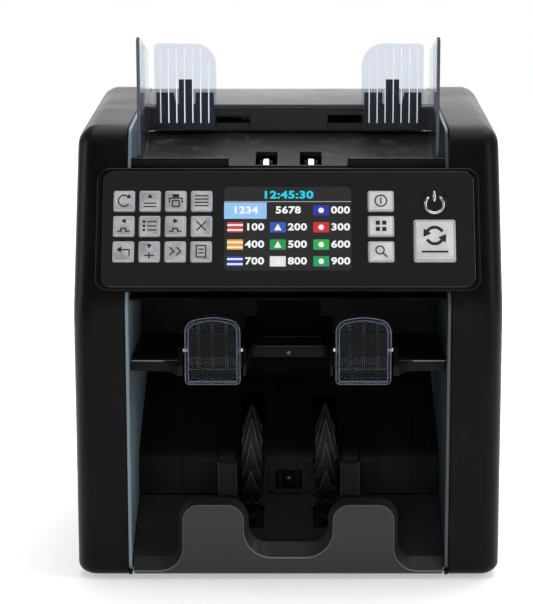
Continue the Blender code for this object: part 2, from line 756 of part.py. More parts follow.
def guide_carrier(name, side):
    """Black carrier behind the clear rest: three fingers in front of the backrest, an arm through its slot,
    a slide block on the rail, and a rack. The right rack is the left one turned half round about the
    pinion."""
    front, rear = GUIDE_REAR + GUIDE_THICK + GAP, HOPPER_REAR - 0.0016
    foot = 0.2990
    outline = [(-FINGERS[2][1], foot), (-FINGERS[0][0], foot)]
    for low, high, top in FINGERS:
        outline += [(-low, top), (-high, top)]
        if high < FINGERS[2][1]:
            outline += [(-high - 0.0001, 0.318), (-high - 0.0021, 0.318)]
    bracket = front_sheet(name, outline, front, rear)
    arm = box(name + "_arm", (ARM_LOW, at(front + 0.001), ARM_SLOT_Z - 0.0017),
              (ARM_HIGH, at(BLOCK_DEPTH[1]), ARM_SLOT_Z + 0.0017))
    block = box(name + "_block", (ARM_LOW + 0.001, at(BLOCK_DEPTH[0]), RAIL_CENTRE[1] - 0.0060),
                (ARM_HIGH - 0.001, at(BLOCK_DEPTH[1] + 0.0005), ARM_SLOT_Z + 0.0010))
    toothed = rack(name + "_rack")
    if side > 0:
        half_turn(toothed)
        for piece in (bracket, arm, block):
            flip_x(piece)
    pieces = [arm, block, toothed]
    if side > 0:
        far = PINION_HEIGHT - PINION_RADIUS - 1.15 * RACK_MODULE - RACK_BACK
        pieces.append(box(name + "_post", (-ARM_HIGH + 0.001, at(RACK_DEPTH[0] + 0.0003), far + 0.0005),
                          (-ARM_LOW - 0.001, at(RACK_DEPTH[1] - 0.0003), ARM_SLOT_Z + 0.0005)))
    made = as_mesh(fuse(bracket, *pieces))
    bore = rod(name + "_bore", RAIL_RADIUS + GAP, -0.1, 0.1, *RAIL_CENTRE, 16)
    return paint(cut(made, bore), "black_inner")


def flip_x(obj):
    obj.data.transform(obj.matrix_world)
    obj.matrix_world = Matrix.Identity(4)
    obj.data.transform(Matrix.Diagonal((-1, 1, 1, 1)))
    obj.data.flip_normals()


def half_turn(obj):
    """Turns a piece half round about the pinion's axis."""
    spin = Matrix.Rotation(math.pi, 4, "Y")
    hub = Matrix.Translation((0, 0, PINION_HEIGHT))
    obj.data.transform(hub @ spin @ hub.inverted() @ obj.matrix_world)
    obj.matrix_world = Matrix.Identity(4)


def pinion_outline():
    """Involute teeth. A tooth gap points up, where the rack has a tooth at rest."""
    base = PINION_RADIUS * math.cos(PRESSURE)
    tip = PINION_RADIUS + 0.85 * RACK_MODULE
    root = PINION_RADIUS - 1.15 * RACK_MODULE

    def spread(radius):
        angle = math.acos(min(1, base / radius))
        return math.tan(angle) - angle

    at_pitch = (math.pi * RACK_MODULE / 2 - BACKLASH) / 2 / PINION_RADIUS
    flank = [max(base, root) + (tip - max(base, root)) * step / 3 for step in range(4)]
    points = []
    for tooth in range(PINION_TEETH):
        middle = math.pi / 2 + (tooth + 0.5) * 2 * math.pi / PINION_TEETH
        halves = [(radius, at_pitch + spread(PINION_RADIUS) - spread(radius)) for radius in flank]
        ring = [(root, halves[0][1] + 0.02), *halves]
        turns = [(r, middle - a) for r, a in ring] + [(r, middle + a) for r, a in reversed(ring)]
        points += [(r * math.cos(t), PINION_HEIGHT + r * math.sin(t)) for r, t in turns]
    return points


def guide_pinion():
    gear = front_sheet("guide_pinion", pinion_outline(), RACK_DEPTH[0] + 0.0003, RACK_DEPTH[1] - 0.0003)
    return paint(origin_to(gear, (0, at(RACK_DEPTH[0]), PINION_HEIGHT)), "key_silver")


def guide_rail():
    rail = rod("guide_rail", RAIL_RADIUS, -INNER_HALF, INNER_HALF, *RAIL_CENTRE, 16)
    return paint(rail, "steel")


hopper_tray()
for word, sign in (("left", -1), ("right", 1)):
    note_guide(f"{word}_note_guide", sign)
    guide_carrier(f"{word}_guide_carrier", sign)
guide_pinion()
guide_rail()


# ---- Control panel ---------------------------------------------------------------------------------------

KEY_BLOCKS = (
    (KEY_COLUMNS[0] - 0.0095, KEY_COLUMNS[-1] + 0.0095, KEY_ROWS[-1] - 0.0095, KEY_ROWS[0] + 0.0095),
    (WIDE_KEY_X - 0.0112, WIDE_KEY_X + 0.0112, KEY_ROWS[-1] - 0.0095, KEY_ROWS[0] + 0.0095),
    (RESTART_CENTRE[0] - 0.0165, RESTART_CENTRE[0] + 0.0165, RESTART_CENTRE[1] - 0.0170,
     POWER_CENTRE[1] + 0.0105),
)


def block_outline(block, radius=0.002):
    left, right, low, high = block
    return rounded_rectangle(right - left, high - low, radius, ((left + right) / 2, (low + high) / 2), 2)


def screen_outline(grow):
    return rounded_rectangle(SCREEN_WIDTH + 2 * grow, SCREEN_HEIGHT + 2 * grow, 0.003 + grow,
                             SCREEN_CENTRE, 3)


FACE_SEAT = FACE_THICK + 0.0004
HOOD_MIDDLE = (0, HOOD_HEIGHT / 2 - 0.0005)


def control_hood():
    """Frame round the panel: flange, seat for the face plate, windows, and walls that reach back into the
    body."""
    windows = [block_outline(block) for block in KEY_BLOCKS] + [screen_outline(GAP)]
    hood = panel_sheet("control_hood", rounded_rectangle(HOOD_WIDTH, HOOD_HEIGHT, HOOD_CORNER, HOOD_MIDDLE),
                       -HOOD_FLANGE, 0)
    bevel_face_rim(hood, HOOD_FLANGE / 2, 0.0008, 1)
    seat_outline = rounded_rectangle(FACE_WIDTH + 2 * GAP, FACE_HEIGHT + 2 * GAP, 0.0074, HOOD_MIDDLE)
    seat = panel_sheet("face_seat", seat_outline,
                       -FACE_SEAT, 0.01)
    wall_width = 2 * HOOD_RECESS_HALF - 0.0012
    wall_height = HOOD_RECESS_HIGH - HOOD_RECESS_LOW - 0.0012
    middle = (0, (HOOD_RECESS_HIGH + HOOD_RECESS_LOW) / 2)
    walls = panel_sheet(
        "hood_walls",
        rounded_rectangle(wall_width, wall_height, 0.003, middle, 2),
        -HOOD_BODY_DEPTH,
        -HOOD_FLANGE + 0.001,
        [rounded_rectangle(wall_width - 0.003, wall_height - 0.003, 0.002, middle, 2)],
    )
    pierce(cut(hood, seat), windows, PANEL_FRAME, -0.012, 0.01)
    return paint(fuse(hood, walls), "black_shell")


def power_bar():
    """The short bar of the power symbol, in the panel frame."""
    return rounded_rectangle(0.0022, 0.0080, 0.00105, (POWER_CENTRE[0], POWER_CENTRE[1] + 0.0040), 3)


def power_arc(grow=0.0, steps=10):
    """The open ring of the power symbol, 300 degrees round."""
    outer, inner = POWER_RADIUS + 0.0008 + grow, POWER_RADIUS - 0.0012 - grow
    open_half = math.radians(34)
    turns = [math.pi / 2 + open_half + (2 * math.pi - 2 * open_half) * i / steps for i in range(steps + 1)]
    away = [(POWER_CENTRE[0] + outer * math.cos(t),
             POWER_CENTRE[1] - 0.0015 + outer * math.sin(t)) for t in turns]
    back = [(POWER_CENTRE[0] + inner * math.cos(t),
             POWER_CENTRE[1] - 0.0015 + inner * math.sin(t)) for t in turns]
    return away + back[::-1]


def key_holes():
    """Every hole that a key comes through, as (width, height, centre)."""
    side = KEY_SIZE + 2 * KEY_CLEARANCE
    holes = [(side, side, (x, h)) for h in KEY_ROWS for x in KEY_COLUMNS]
    holes += [(WIDE_KEY + 2 * KEY_CLEARANCE, side, (WIDE_KEY_X, h)) for h in KEY_ROWS]
    holes.append((RESTART_WIDTH + 2 * KEY_CLEARANCE, RESTART_HEIGHT + 2 * KEY_CLEARANCE, RESTART_CENTRE))
    return holes


POWER_PAD_RADIUS = 0.0092


def panel_face():
    """Glossy plate with a hole for each key and a window for the screen."""
    holes = [rounded_rectangle(w, h, 0.0014, centre, 2) for w, h, centre in key_holes()]
    holes += [screen_outline(GAP), circle(POWER_CENTRE, POWER_PAD_RADIUS + KEY_CLEARANCE, 24)]
    outline = rounded_rectangle(FACE_WIDTH, FACE_HEIGHT, 0.007, HOOD_MIDDLE)
    plate = panel_sheet("panel_face", outline, -FACE_SEAT + GAP, -0.0003)
    return paint(pierce(plate, holes, PANEL_FRAME, -0.01, 0.01), "gloss_black")


BOARD_FRONT = -0.0130
SWITCH_TOP = -0.0113


def control_board():
    """Circuit board with one switch behind each key."""
    board = panel_box("control_board", (-0.1215, 0.0080, BOARD_FRONT - 0.0016),
                      (0.1215, 0.0785, BOARD_FRONT))
    centres = [centre for _, _, centre in key_holes()] + [POWER_CENTRE]
    switches = [
        panel_box(f"switch_{i}", (x - 0.003, h - 0.003, BOARD_FRONT - 0.0005),
                  (x + 0.003, h + 0.003, SWITCH_TOP))
        for i, (x, h) in enumerate(centres)
    ]
    bpy.context.view_layer.update()
    return paint(fuse(board, joined("switches", switches)), "board_green")


def display_screen():
    """Screen module: a glass front in the window and a thicker back."""
    module = panel_sheet("display_screen", screen_outline(0), -0.0060, -0.0006)
    (x, h), half_w, half_h = SCREEN_CENTRE, SCREEN_WIDTH / 2, SCREEN_HEIGHT / 2
    back = panel_box("screen_back", (x - half_w - 0.0015, h - half_h + 0.002, -0.0095),
                     (x + half_w + 0.0015, h + half_h - 0.002, -0.0055))
    return paint(fuse(module, back), "screen_glass")


KEY_LABELS = (
    ("auto", "serial", "print", "batch"),
    ("face", "menu", "orient", "reject"),
    ("escape", "add", "speed", "report"),
)
WIDE_LABELS = ("currency", "mode", "counterfeit")
FLANGE_FRONT = -FACE_SEAT - 0.0002
STEM_BACK = SWITCH_TOP + KEY_TRAVEL + 0.0002


def key_cap(name, width, height):
    """A key about its own centre: bevelled cap, retaining flange behind the face plate, and a stem."""
    w, h = width / 2, height / 2
    cap = bevel(box(name, (-w, -h, FLANGE_FRONT - 0.0006), (w, h, KEY_PROUD)), 0.0006, 1)
    lip = 0.0007
    flange = box(name + "_flange", (-w - lip, -h - lip, FLANGE_FRONT - 0.0012),
                 (w + lip, h + lip, FLANGE_FRONT))
    stem = box(name + "_stem", (-0.002, -0.002, STEM_BACK), (0.002, 0.002, FLANGE_FRONT - 0.001))
    whole = as_mesh(fuse(cap, flange, stem))
    mesh = whole.data
    bpy.data.objects.remove(whole)
    return mesh


def place_key(name, mesh, centre, material):
    key = bpy.data.objects.new(name, mesh)
    machine.objects.link(key)
    key.matrix_world = PANEL_FRAME @ Matrix.Translation((*centre, 0))
    return paint(key, material)


def keys():
    small = key_cap("small_key", KEY_SIZE, KEY_SIZE)
    wide = key_cap("wide_key", WIDE_KEY, KEY_SIZE)
    restart = key_cap("restart_cap", RESTART_WIDTH, RESTART_HEIGHT)
    for labels, row in zip(KEY_LABELS, KEY_ROWS):
        for label, column in zip(labels, KEY_COLUMNS):
            place_key(f"key_{label}", small, (column, row), "key_silver")
    for label, row in zip(WIDE_LABELS, KEY_ROWS):
        place_key(f"key_{label}", wide, (WIDE_KEY_X, row), "key_silver")
    place_key("key_restart", restart, RESTART_CENTRE, "key_silver")


def power_key():
    """Round flush key with the power symbol standing proud of it."""
    pad = panel_sheet("key_power", circle(POWER_CENTRE, POWER_PAD_RADIUS, 24), FLANGE_FRONT - 0.0006,
                      -0.0004)
    flange = panel_sheet("power_flange", circle(POWER_CENTRE, POWER_PAD_RADIUS + 0.0008, 24),
                         FLANGE_FRONT - 0.0012, FLANGE_FRONT)
    stem_low = (POWER_CENTRE[0] - 0.002, POWER_CENTRE[1] - 0.002, STEM_BACK)
    stem = panel_box("power_stem", stem_low,
                     (POWER_CENTRE[0] + 0.002, POWER_CENTRE[1] + 0.002, FLANGE_FRONT - 0.001))
    bar = panel_sheet("power_bar", power_bar(), -0.0010, 0.0008)
    arc = panel_sheet("power_arc", power_arc(), -0.0010, 0.0008)
    return paint(as_mesh(fuse(pad, flange, stem, bar, arc)), "power_chrome")


control_hood()
panel_face()
control_board()
display_screen()
keys()
power_key()


# ---- Reject pocket and its two note stops ----------------------------------------------------------------

CEILING = 0.1955
REJECT_WALL = 0.003
NOTCH_CLEARANCE = 0.0013
NOTCH_REAR = 0.0260
SHELF_CUT_REAR = 0.058
INNER_EAR = 0.0022
OUTER_EAR = 0.0036
EAR_FRONT = -0.0050


def shelf_outline():
    """Half of the shelf in x and depth, from the middle outwards: middle cut-out, ear, stop notch, ear,
    edge."""
    inner = STOP_X - STOP_WIDTH / 2 - NOTCH_CLEARANCE
    outer = STOP_X + STOP_WIDTH / 2 + NOTCH_CLEARANCE
    return [
        (0.0265, SHELF_CUT_REAR),
        (inner - INNER_EAR, 0.012),
        (inner - INNER_EAR, EAR_FRONT),
        (inner, EAR_FRONT),
        (inner, NOTCH_REAR),
        (outer, NOTCH_REAR),
        (outer, EAR_FRONT),
        (outer + OUTER_EAR, EAR_FRONT + 0.0005),
        (outer + OUTER_EAR + 0.0025, SHELF_FRONT - 0.0080),
        (outer + OUTER_EAR + 0.0065, SHELF_FRONT - 0.0030),
        (outer + OUTER_EAR + 0.0125, SHELF_FRONT),
        (INNER_HALF, SHELF_FRONT),
        (INNER_HALF, SHELF_REAR + REJECT_WALL),
    ]


def reject_pocket():
    """The upper pocket's moulding: shelf, back wall with the note outlet, and the ears that hold the
    stops."""
    half = shelf_outline()
    outline = [(x, at(depth)) for x, depth in half] + [(-x, at(depth)) for x, depth in reversed(half)]
    shelf = sheet("reject_pocket", outline, SHELF_TOP - SHELF_THICK, SHELF_TOP)
    outlet = rounded_rectangle(0.190, 0.008, 0.002, (0, 0.187), 2)
    wall_outline = [(-INNER_HALF, SHELF_TOP - 0.002), (INNER_HALF, SHELF_TOP - 0.002),
                    (INNER_HALF, CEILING + 0.001), (-INNER_HALF, CEILING + 0.001)]
    wall = front_sheet("reject_wall", wall_outline, SHELF_REAR, SHELF_REAR + REJECT_WALL, [outlet])
    ceiling = side_sheet("reject_ceiling", [(0.008, CEILING), (SHELF_REAR + REJECT_WALL, CEILING),
                                            (SHELF_REAR + REJECT_WALL, CEILING + 0.0022),
                                            (0.008, CEILING + 0.0022)],
                         -INNER_HALF, INNER_HALF)
    base = box("outlet_base", (-0.032, at(SHELF_REAR - 0.0030), 0.1560),
               (0.032, at(SHELF_REAR + 0.001), 0.1655))
    block = box("outlet_block", (-0.023, at(SHELF_REAR - 0.0038), 0.1550),
                (0.023, at(SHELF_REAR + 0.0008), 0.1785))
    ears = []
    for side in (-1, 1):
        for edge, thick in ((-side, INNER_EAR), (side, OUTER_EAR)):
            face = side * STOP_X + edge * (STOP_WIDTH / 2 + NOTCH_CLEARANCE)
            low, high = sorted((face, face + edge * (thick - 0.0002)))
            outline = [(EAR_FRONT + 0.0003, SHELF_TOP - 0.002), (0.0100, SHELF_TOP - 0.002),
                       (0.0035, STOP_PIVOT[1] + 0.0034), (-0.0030, STOP_PIVOT[1] + 0.0034)]
            ears.append(side_sheet("ear", rounded(outline, [0, 0, 0.002, 0.002], 2), low, high))
    pin_bores = [
        rod("pin_bore", STOP_PIN_RADIUS + GAP, side * STOP_X - 0.024, side * STOP_X + 0.024, *STOP_PIVOT,
            12)
        for side in (-1, 1)
    ]
    bpy.context.view_layer.update()
    fuse(shelf, wall, ceiling, base, block, joined("ears", ears))
    return paint(cut(shelf, joined("pin_bores", pin_bores)), "black_inner")


def note_stop(name, side):
    """Clear stop: arched tray with a raised rim and three ribs, turning on two stub pins."""
    front, back = -STOP_REACH, 0.0030
    half = STOP_WIDTH / 2
    x = side * STOP_X
    top = STOP_FOOT + STOP_HEIGHT
    corners = [(x - half, STOP_FOOT), (x + half, STOP_FOOT), (x + half, top - 0.003), (x, top + 0.0035),
               (x - half, top - 0.003)]
    radii = [0.003, 0.003, 0.009, 0.036, 0.009]
    body = front_sheet(name, rounded(corners, radii, 4), front, back)
    inner = [(x - half + 0.0022, STOP_FOOT + 0.0118), (x + half - 0.0022, STOP_FOOT + 0.0118),
             (x + half - 0.0022, top - 0.0044), (x, top + 0.0010), (x - half + 0.0022, top - 0.0044)]
    hollow = front_sheet(name + "_hollow", rounded(inner, [0.001, 0.001, 0.007, 0.034, 0.007], 4),
                         front + 0.0022, 0.02)
    foot = box(name + "_foot", (x - half + 0.0022, at(front + 0.0022), STOP_FOOT + 0.0015),
               (x + half - 0.0022, at(0.02), STOP_FOOT + 0.0100))
    rear_trim = side_sheet(name + "_trim",
                           [(back - 0.007, STOP_FOOT - 0.01), (0.03, STOP_FOOT - 0.01), (0.03, top + 0.01),
                                            (back - 0.007, top + 0.01),
                                            (back + 0.0005, STOP_PIVOT[1] + 0.006),
                                            (back + 0.0005, STOP_PIVOT[1] - 0.006)], x - 0.03, x + 0.03)
    cut(body, hollow, foot, rear_trim)
    pin_reach = half + NOTCH_CLEARANCE + INNER_EAR - 0.0002
    pins = [rod(f"{name}_pin_{end}", STOP_PIN_RADIUS,
                *sorted((x + end * (half - 0.001), x + end * pin_reach)),
                *STOP_PIVOT, 12) for end in (-1, 1)]
    fuse(body, *pins)
    made = origin_to(as_mesh(body), (x, at(STOP_PIVOT[0]), STOP_PIVOT[1]))
    return paint(made, "clear_plastic")


reject_pocket()
for word, sign in (("left", -1), ("right", 1)):
    note_stop(f"{word}_note_stop", sign)


# ---- Stacker pocket --------------------------------------------------------------------------------------

SLOT_HALF = WHEEL_WIDTH / 2 + 0.0016


def wheel_slots(name, depth_low, depth_high, low, high):
    """One cutter for the room that both stacker wheels need."""
    slots = [
        box(f"{name}_{side}", (side * WHEEL_X - SLOT_HALF, at(depth_low), low),
            (side * WHEEL_X + SLOT_HALF, at(depth_high), high))
        for side in (-1, 1)
    ]
    bpy.context.view_layer.update()
    return joined(name, slots)


def stack_profile(lift=0.0):
    """The stacker plate's top line in depth and height: low wall, round shoulder, long ramp to the rear."""
    return [(STACK_WALL - lift, STACK_WALL_FOOT), (STACK_WALL - lift, STACK_WALL_TOP + lift),
            (STACK_PLATE_REAR[0], STACK_PLATE_REAR[1] + lift)]


REAR_WALL_TOP = 0.1700
REST_BARS_X = 0.0440
REST_BAR_WIDTH = 0.0140


def stacker_back_plate():
    """Low wall, round shoulder, ramp and rear wall in one sheet, with two raised rest bars."""
    front = stack_profile()
    ramp = (Vector(front[2]) - Vector(front[1])).normalized()
    under = Vector((ramp.y, -ramp.x)) * SHELL
    low = [(STACK_WALL + SHELL, STACK_WALL_FOOT), (STACK_WALL + SHELL, STACK_WALL_TOP - 0.0010)]
    rear = front[2]
    outline = rounded(
        [front[0], low[0], low[1], (rear[0] + SHELL, rear[1] + under.y), (rear[0] + SHELL, REAR_WALL_TOP),
         (rear[0], REAR_WALL_TOP), rear, front[1]],
        [0, 0, 0.007, 0.004, 0, 0, 0.002, 0.010],
        4,
    )
    plate = side_sheet("stacker_back_plate", outline, -INNER_HALF, INNER_HALF)
    bars = []
    for side in (-1, 1):
        x_low = side * (REST_BARS_X + 0.0002) - REST_BAR_WIDTH / 2
        bar_outline = rounded(
            [(STACK_WALL - 0.0050, STACK_WALL_FOOT), (STACK_WALL + 0.001, STACK_WALL_FOOT),
             (STACK_WALL + 0.0010, STACK_WALL_TOP - 0.003), (0.094, 0.0795), (0.092, 0.0840),
             (STACK_WALL - 0.0050, STACK_WALL_TOP + 0.002)],
            [0, 0, 0, 0, 0.003, 0.008],
            3,
        )
        bars.append(side_sheet("rest_bar", bar_outline, x_low, x_low + REST_BAR_WIDTH))
    bpy.context.view_layer.update()
    fuse(plate, joined("rest_bars", bars))
    sensor = box("sensor_recess", (-0.0095, at(STACK_WALL - 0.01), STACK_WALL_FOOT + 0.0035),
                 (0.0095, at(STACK_WALL + 0.01), STACK_WALL_FOOT + 0.0170))
    return paint(cut(plate, wheel_slots("plate_slots", 0.05, 0.126, 0.01, 0.12), sensor), "black_inner")


def floor_height(depth):
    return FLOOR_FRONT[1] + FLOOR_SLOPE * (depth - FLOOR_FRONT[0])


def front_wall_outline():
    """The front wall in x and height: two humps with a valley between and one on each side."""
    foot = FOOT_HEIGHT
    half = [(HUMP_X - HUMP_HALF, VALLEY_TOP), (HUMP_X - HUMP_HALF, HUMP_TOP),
            (HUMP_X + HUMP_HALF, HUMP_TOP),
            (HUMP_X + HUMP_HALF, SIDE_VALLEY_TOP), (INNER_HALF, SIDE_VALLEY_TOP)]
    radii = [0.013, 0.014, 0.013, 0.010, 0]
    left = [(-x, z) for x, z in reversed(half)]
    corners = [(-INNER_HALF, foot), (INNER_HALF, foot)] + half[::-1] + left[::-1]
    return rounded(corners, [0, 0] + radii[::-1] + radii, 6)


def front_tray():
    """The stacker's floor and front wall in one moulding."""
    wall = front_sheet("front_tray", front_wall_outline(), 0.0, FRONT_WALL)
    bevel_face_rim(wall, FRONT_WALL / 2, 0.0016, 2)
    rear = STACK_WALL - 0.0004
    floor_outline = [(0.004, FOOT_HEIGHT), (rear, FOOT_HEIGHT), (rear, floor_height(rear)),
                     (FRONT_WALL - 0.001, floor_height(FRONT_WALL - 0.001)),
                     (0.004, SIDE_VALLEY_TOP - 0.001)]
    floor = side_sheet("tray_floor", floor_outline, -INNER_HALF, INNER_HALF)
    hollow = side_sheet("tray_hollow", [(0.012, 0.0), (rear + 0.01, 0.0),
                                        (rear + 0.01, floor_height(rear) - 0.0001),
                                        (rear - SHELL, floor_height(rear - SHELL) - SHELL),
                                        (0.020, floor_height(0.020) - SHELL)],
                        -INNER_HALF + SHELL, INNER_HALF - SHELL)
    fuse(wall, floor)
    cut(wall, hollow, wheel_slots("floor_slots", 0.0365, 0.09, 0.0, 0.06))
    return paint(wall, "black_shell")


def stacker_blade(index):
    """One rubber blade, swept back from the hub and drawn to a point. A loft of thin rectangles."""
    stations = 6
    start = 2 * math.pi * index / BLADES
    rings = []
    for station in range(stations + 1):
        share = station / stations
        radius = WHEEL_HUB - 0.002 + (WHEEL_RADIUS - WHEEL_HUB + 0.002) * share
        turn = start - BLADE_SWEEP * share ** 0.8
        half = WHEEL_WIDTH / 2 * (1 - 0.82 * max(0.0, (share - 0.25) / 0.75))
        thick = BLADE_THICK * (1.25 - 0.5 * share)
        centre = Vector((-radius * math.sin(turn), radius * math.cos(turn)))
        rings.append((centre, half, thick))
    cage = bmesh.new()
    loops = []
    for i, (centre, half, thick) in enumerate(rings):
        before, after = rings[max(i - 1, 0)][0], rings[min(i + 1, stations)][0]
        along = (after - before).normalized()
        out = Vector((along.y, -along.x)) * thick / 2
        corners = [(-half, centre + out), (half, centre + out), (half, centre - out), (-half, centre - out)]
        loops.append([cage.verts.new((x, p.x, p.y)) for x, p in corners])
    for first, second in zip(loops, loops[1:]):
        for k in range(4):
            cage.faces.new((first[k], first[(k + 1) % 4], second[(k + 1) % 4], second[k]))
    cage.faces.new(loops[0])
    cage.faces.new(loops[-1])
    bmesh.ops.recalc_face_normals(cage, faces=cage.faces)
    mesh = bpy.data.meshes.new("blade")
    cage.to_mesh(mesh)
    cage.free()
    blade = bpy.data.objects.new("blade", mesh)
    machine.objects.link(blade)
    return blade


def stacker_wheel_mesh():
    """A hub with its ring of blades, about the wheel's own centre."""
    bpy.ops.mesh.primitive_cylinder_add(vertices=24, radius=WHEEL_HUB, depth=WHEEL_WIDTH - 0.001)
    hub = move_to(bpy.context.object, machine)
    hub.rotation_euler = (0, math.radians(90), 0)
    blades = [stacker_blade(index) for index in range(BLADES)]
    bpy.context.view_layer.update()
    fuse(hub, joined("blades", blades))
    wheel = as_mesh(hub)
    bpy.ops.mesh.primitive_cylinder_add(vertices=16, radius=SHAFT_RADIUS + GAP, depth=0.1)
    bore = bpy.context.object
    bore.rotation_euler = (0, math.radians(90), 0)
    wheel = as_mesh(cut(wheel, bore))
    wheel.data.transform(wheel.matrix_world)
    mesh = wheel.data
    bpy.data.objects.remove(wheel)
    return mesh


def stacker_wheels():
    mesh = stacker_wheel_mesh()
    for word, sign in (("left", -1), ("right", 1)):
        wheel = bpy.data.objects.new(f"{word}_stacker_wheel", mesh)
        machine.objects.link(wheel)
        wheel.location = (sign * WHEEL_X, at(WHEEL_CENTRE[0]), WHEEL_CENTRE[1])
        paint(wheel, "wheel_black")


stacker_back_plate()
front_tray()
stacker_wheels()


# ---- Shafts, rollers, motor and belt ---------------------------------------------------------------------

SHAFT_RIGHT = PLATE_OUTER + 0.004
SHAFT_LEFT = PULLEY_INNER_X + PULLEY_WIDTH + 0.0015


def shaft(name, centre):
    return rod(name, SHAFT_RADIUS, -SHAFT_LEFT, SHAFT_RIGHT, *centre, 16)


def roller_shaft(name, centre, pulley_radius, roller_radius, roller_width, places):
    """A shaft that carries its rollers and its pulley in one piece."""
    made = shaft(name, centre)
    turned = [rod("roller", roller_radius, x - roller_width / 2, x + roller_width / 2, *centre,
                  28) for x in places]
    turned.append(as_mesh(pulley("shaft_pulley", centre, pulley_radius, SHAFT_RADIUS - 0.001)))
    bpy.context.view_layer.update()
    return paint(fuse(made, joined(name + "_rollers", turned)), "steel")


def pulley(name, centre, radius, bore_radius):
    """A belt pulley turned as one profile: two flanges and the belt's seat, about X."""
    low, high = 0.0, PULLEY_WIDTH
    lip = 0.0011
    seat = radius + 0.0018
    profile = [(bore_radius, high), (seat, high), (seat, high - lip), (radius, high - lip),
               (radius, low + lip),
               (seat, low + lip), (seat, low), (bore_radius, low)]
    mesh = bpy.data.meshes.new(name)
    cage = bmesh.new()
    points = [cage.verts.new((r, 0, z)) for r, z in profile]
    for first, second in zip(points, points[1:] + points[:1]):
        cage.edges.new((first, second))
    cage.to_mesh(mesh)
    cage.free()
    obj = bpy.data.objects.new(name, mesh)
    machine.objects.link(obj)
    screw = obj.modifiers.new("turn", "SCREW")
    screw.steps = screw.render_steps = 24
    screw.use_merge_vertices = True
    screw.merge_threshold = 0.00001
    obj.rotation_euler = (0, math.radians(-90), 0)
    obj.location = (-PULLEY_INNER_X, at(centre[0]), centre[1])
    return paint(obj, "wheel_black")


def belt_outline(lift):
    """The loop that a taut belt makes round all four pulleys, as the hull of their circles."""
    ring = []
    wheels = (("stacker", WHEEL_CENTRE), ("pickup", PICKUP_CENTRE), ("feed", FEED_CENTRE),
              ("motor", MOTOR_CENTRE))
    for name, centre in wheels:
        ring += circle(centre, PULLEY_RADII[name] + lift, 24)
    points = sorted(ring)

    def half_hull(ordered):
        kept = []
        for point in ordered:
            while len(kept) > 1:
                (ax, ay), (bx, by) = kept[-2], kept[-1]
                if (bx - ax) * (point[1] - ay) - (by - ay) * (point[0] - ax) > 0:
                    break
                kept.pop()
            kept.append(point)
        return kept

    return half_hull(points)[:-1] + half_hull(points[::-1])[:-1]


def drive_belt():
    middle = -PULLEY_INNER_X - PULLEY_WIDTH / 2
    inside = belt_outline(BELT_LIFT)
    belt = side_sheet("drive_belt", belt_outline(BELT_LIFT + BELT_THICK), middle - BELT_WIDTH / 2,
                      middle + BELT_WIDTH / 2, [inside])
    return paint(belt, "rubber")


def drive_motor():
    """Motor can inside the left plate, with a boss and a round plate at its face."""
    face = -POCKET_HALF + GAP
    can = rod("drive_motor", MOTOR_RADIUS, face, face + MOTOR_LENGTH, *MOTOR_CENTRE, 28)
    stub = rod("motor_shaft", 0.0022, -PULLEY_INNER_X - PULLEY_WIDTH - 0.001, face + 0.004, *MOTOR_CENTRE,
               14)
    cap = rod("motor_cap", 0.008, face + MOTOR_LENGTH - 0.001, face + MOTOR_LENGTH + 0.003, *MOTOR_CENTRE,
              16)
    return paint(fuse(can, stub, cap), "steel")


paint(shaft("stacker_shaft", WHEEL_CENTRE), "steel")
roller_shaft("pickup_shaft", PICKUP_CENTRE, PULLEY_RADII["pickup"], PICKUP_RADIUS, PICKUP_WIDTH,
             (-PICKUP_X, PICKUP_X))
roller_shaft("feed_shaft", FEED_CENTRE, PULLEY_RADII["feed"], FEED_RADIUS, FEED_WIDTH, FEED_PLACES)
pulley("stacker_pulley", WHEEL_CENTRE, PULLEY_RADII["stacker"], SHAFT_RADIUS + GAP)
pulley("motor_pulley", MOTOR_CENTRE, PULLEY_RADII["motor"], 0.0022 + GAP)
drive_belt()
drive_motor()


# ---- Note path, electronics and fasteners ----------------------------------------------------------------

def diverter_gate():
    """Flap that sends a note to the upper or the lower pocket. It turns on its round rear edge."""
    outline = rounded(
        [(GATE_PIVOT[0] - 0.0115, GATE_PIVOT[1] - 0.0022), (GATE_PIVOT[0] + 0.003, GATE_PIVOT[1] - 0.0030),
         (GATE_PIVOT[0] + 0.003, GATE_PIVOT[1] + 0.0030), (GATE_PIVOT[0] - 0.0115, GATE_PIVOT[1] - 0.0008)],
        [0, 0.0028, 0.0028, 0],
        4,
    )
    gate = side_sheet("diverter_gate", outline, -0.098, 0.098)
    pins = rod("gate_pins", HINGE_PIN, -BEARING_REACH, BEARING_REACH, *GATE_PIVOT, 12)
    made = origin_to(as_mesh(fuse(gate, pins)), (0, at(GATE_PIVOT[0]), GATE_PIVOT[1]))
    return paint(made, "black_inner")


def image_sensor():
    """Two sensor bars joined at their ends. Notes pass down between them, inside the machine."""
    body = box("image_sensor", (-0.1020, at(0.100), 0.2080), (0.1020, at(0.132), 0.2280))
    path = box("note_path", (-0.0950, at(0.1135), 0.20), (0.0950, at(0.1185), 0.24))
    return paint(cut(body, path), "black_inner")


def power_supply():
    """Caged supply on the base pan."""
    low = (-0.030, at(0.152), FOOT_HEIGHT + BASE_THICK + GAP)
    supply = box("power_supply", low, (0.085, at(0.222), 0.046))
    return paint(bevel(supply, 0.0015, 1), "steel")


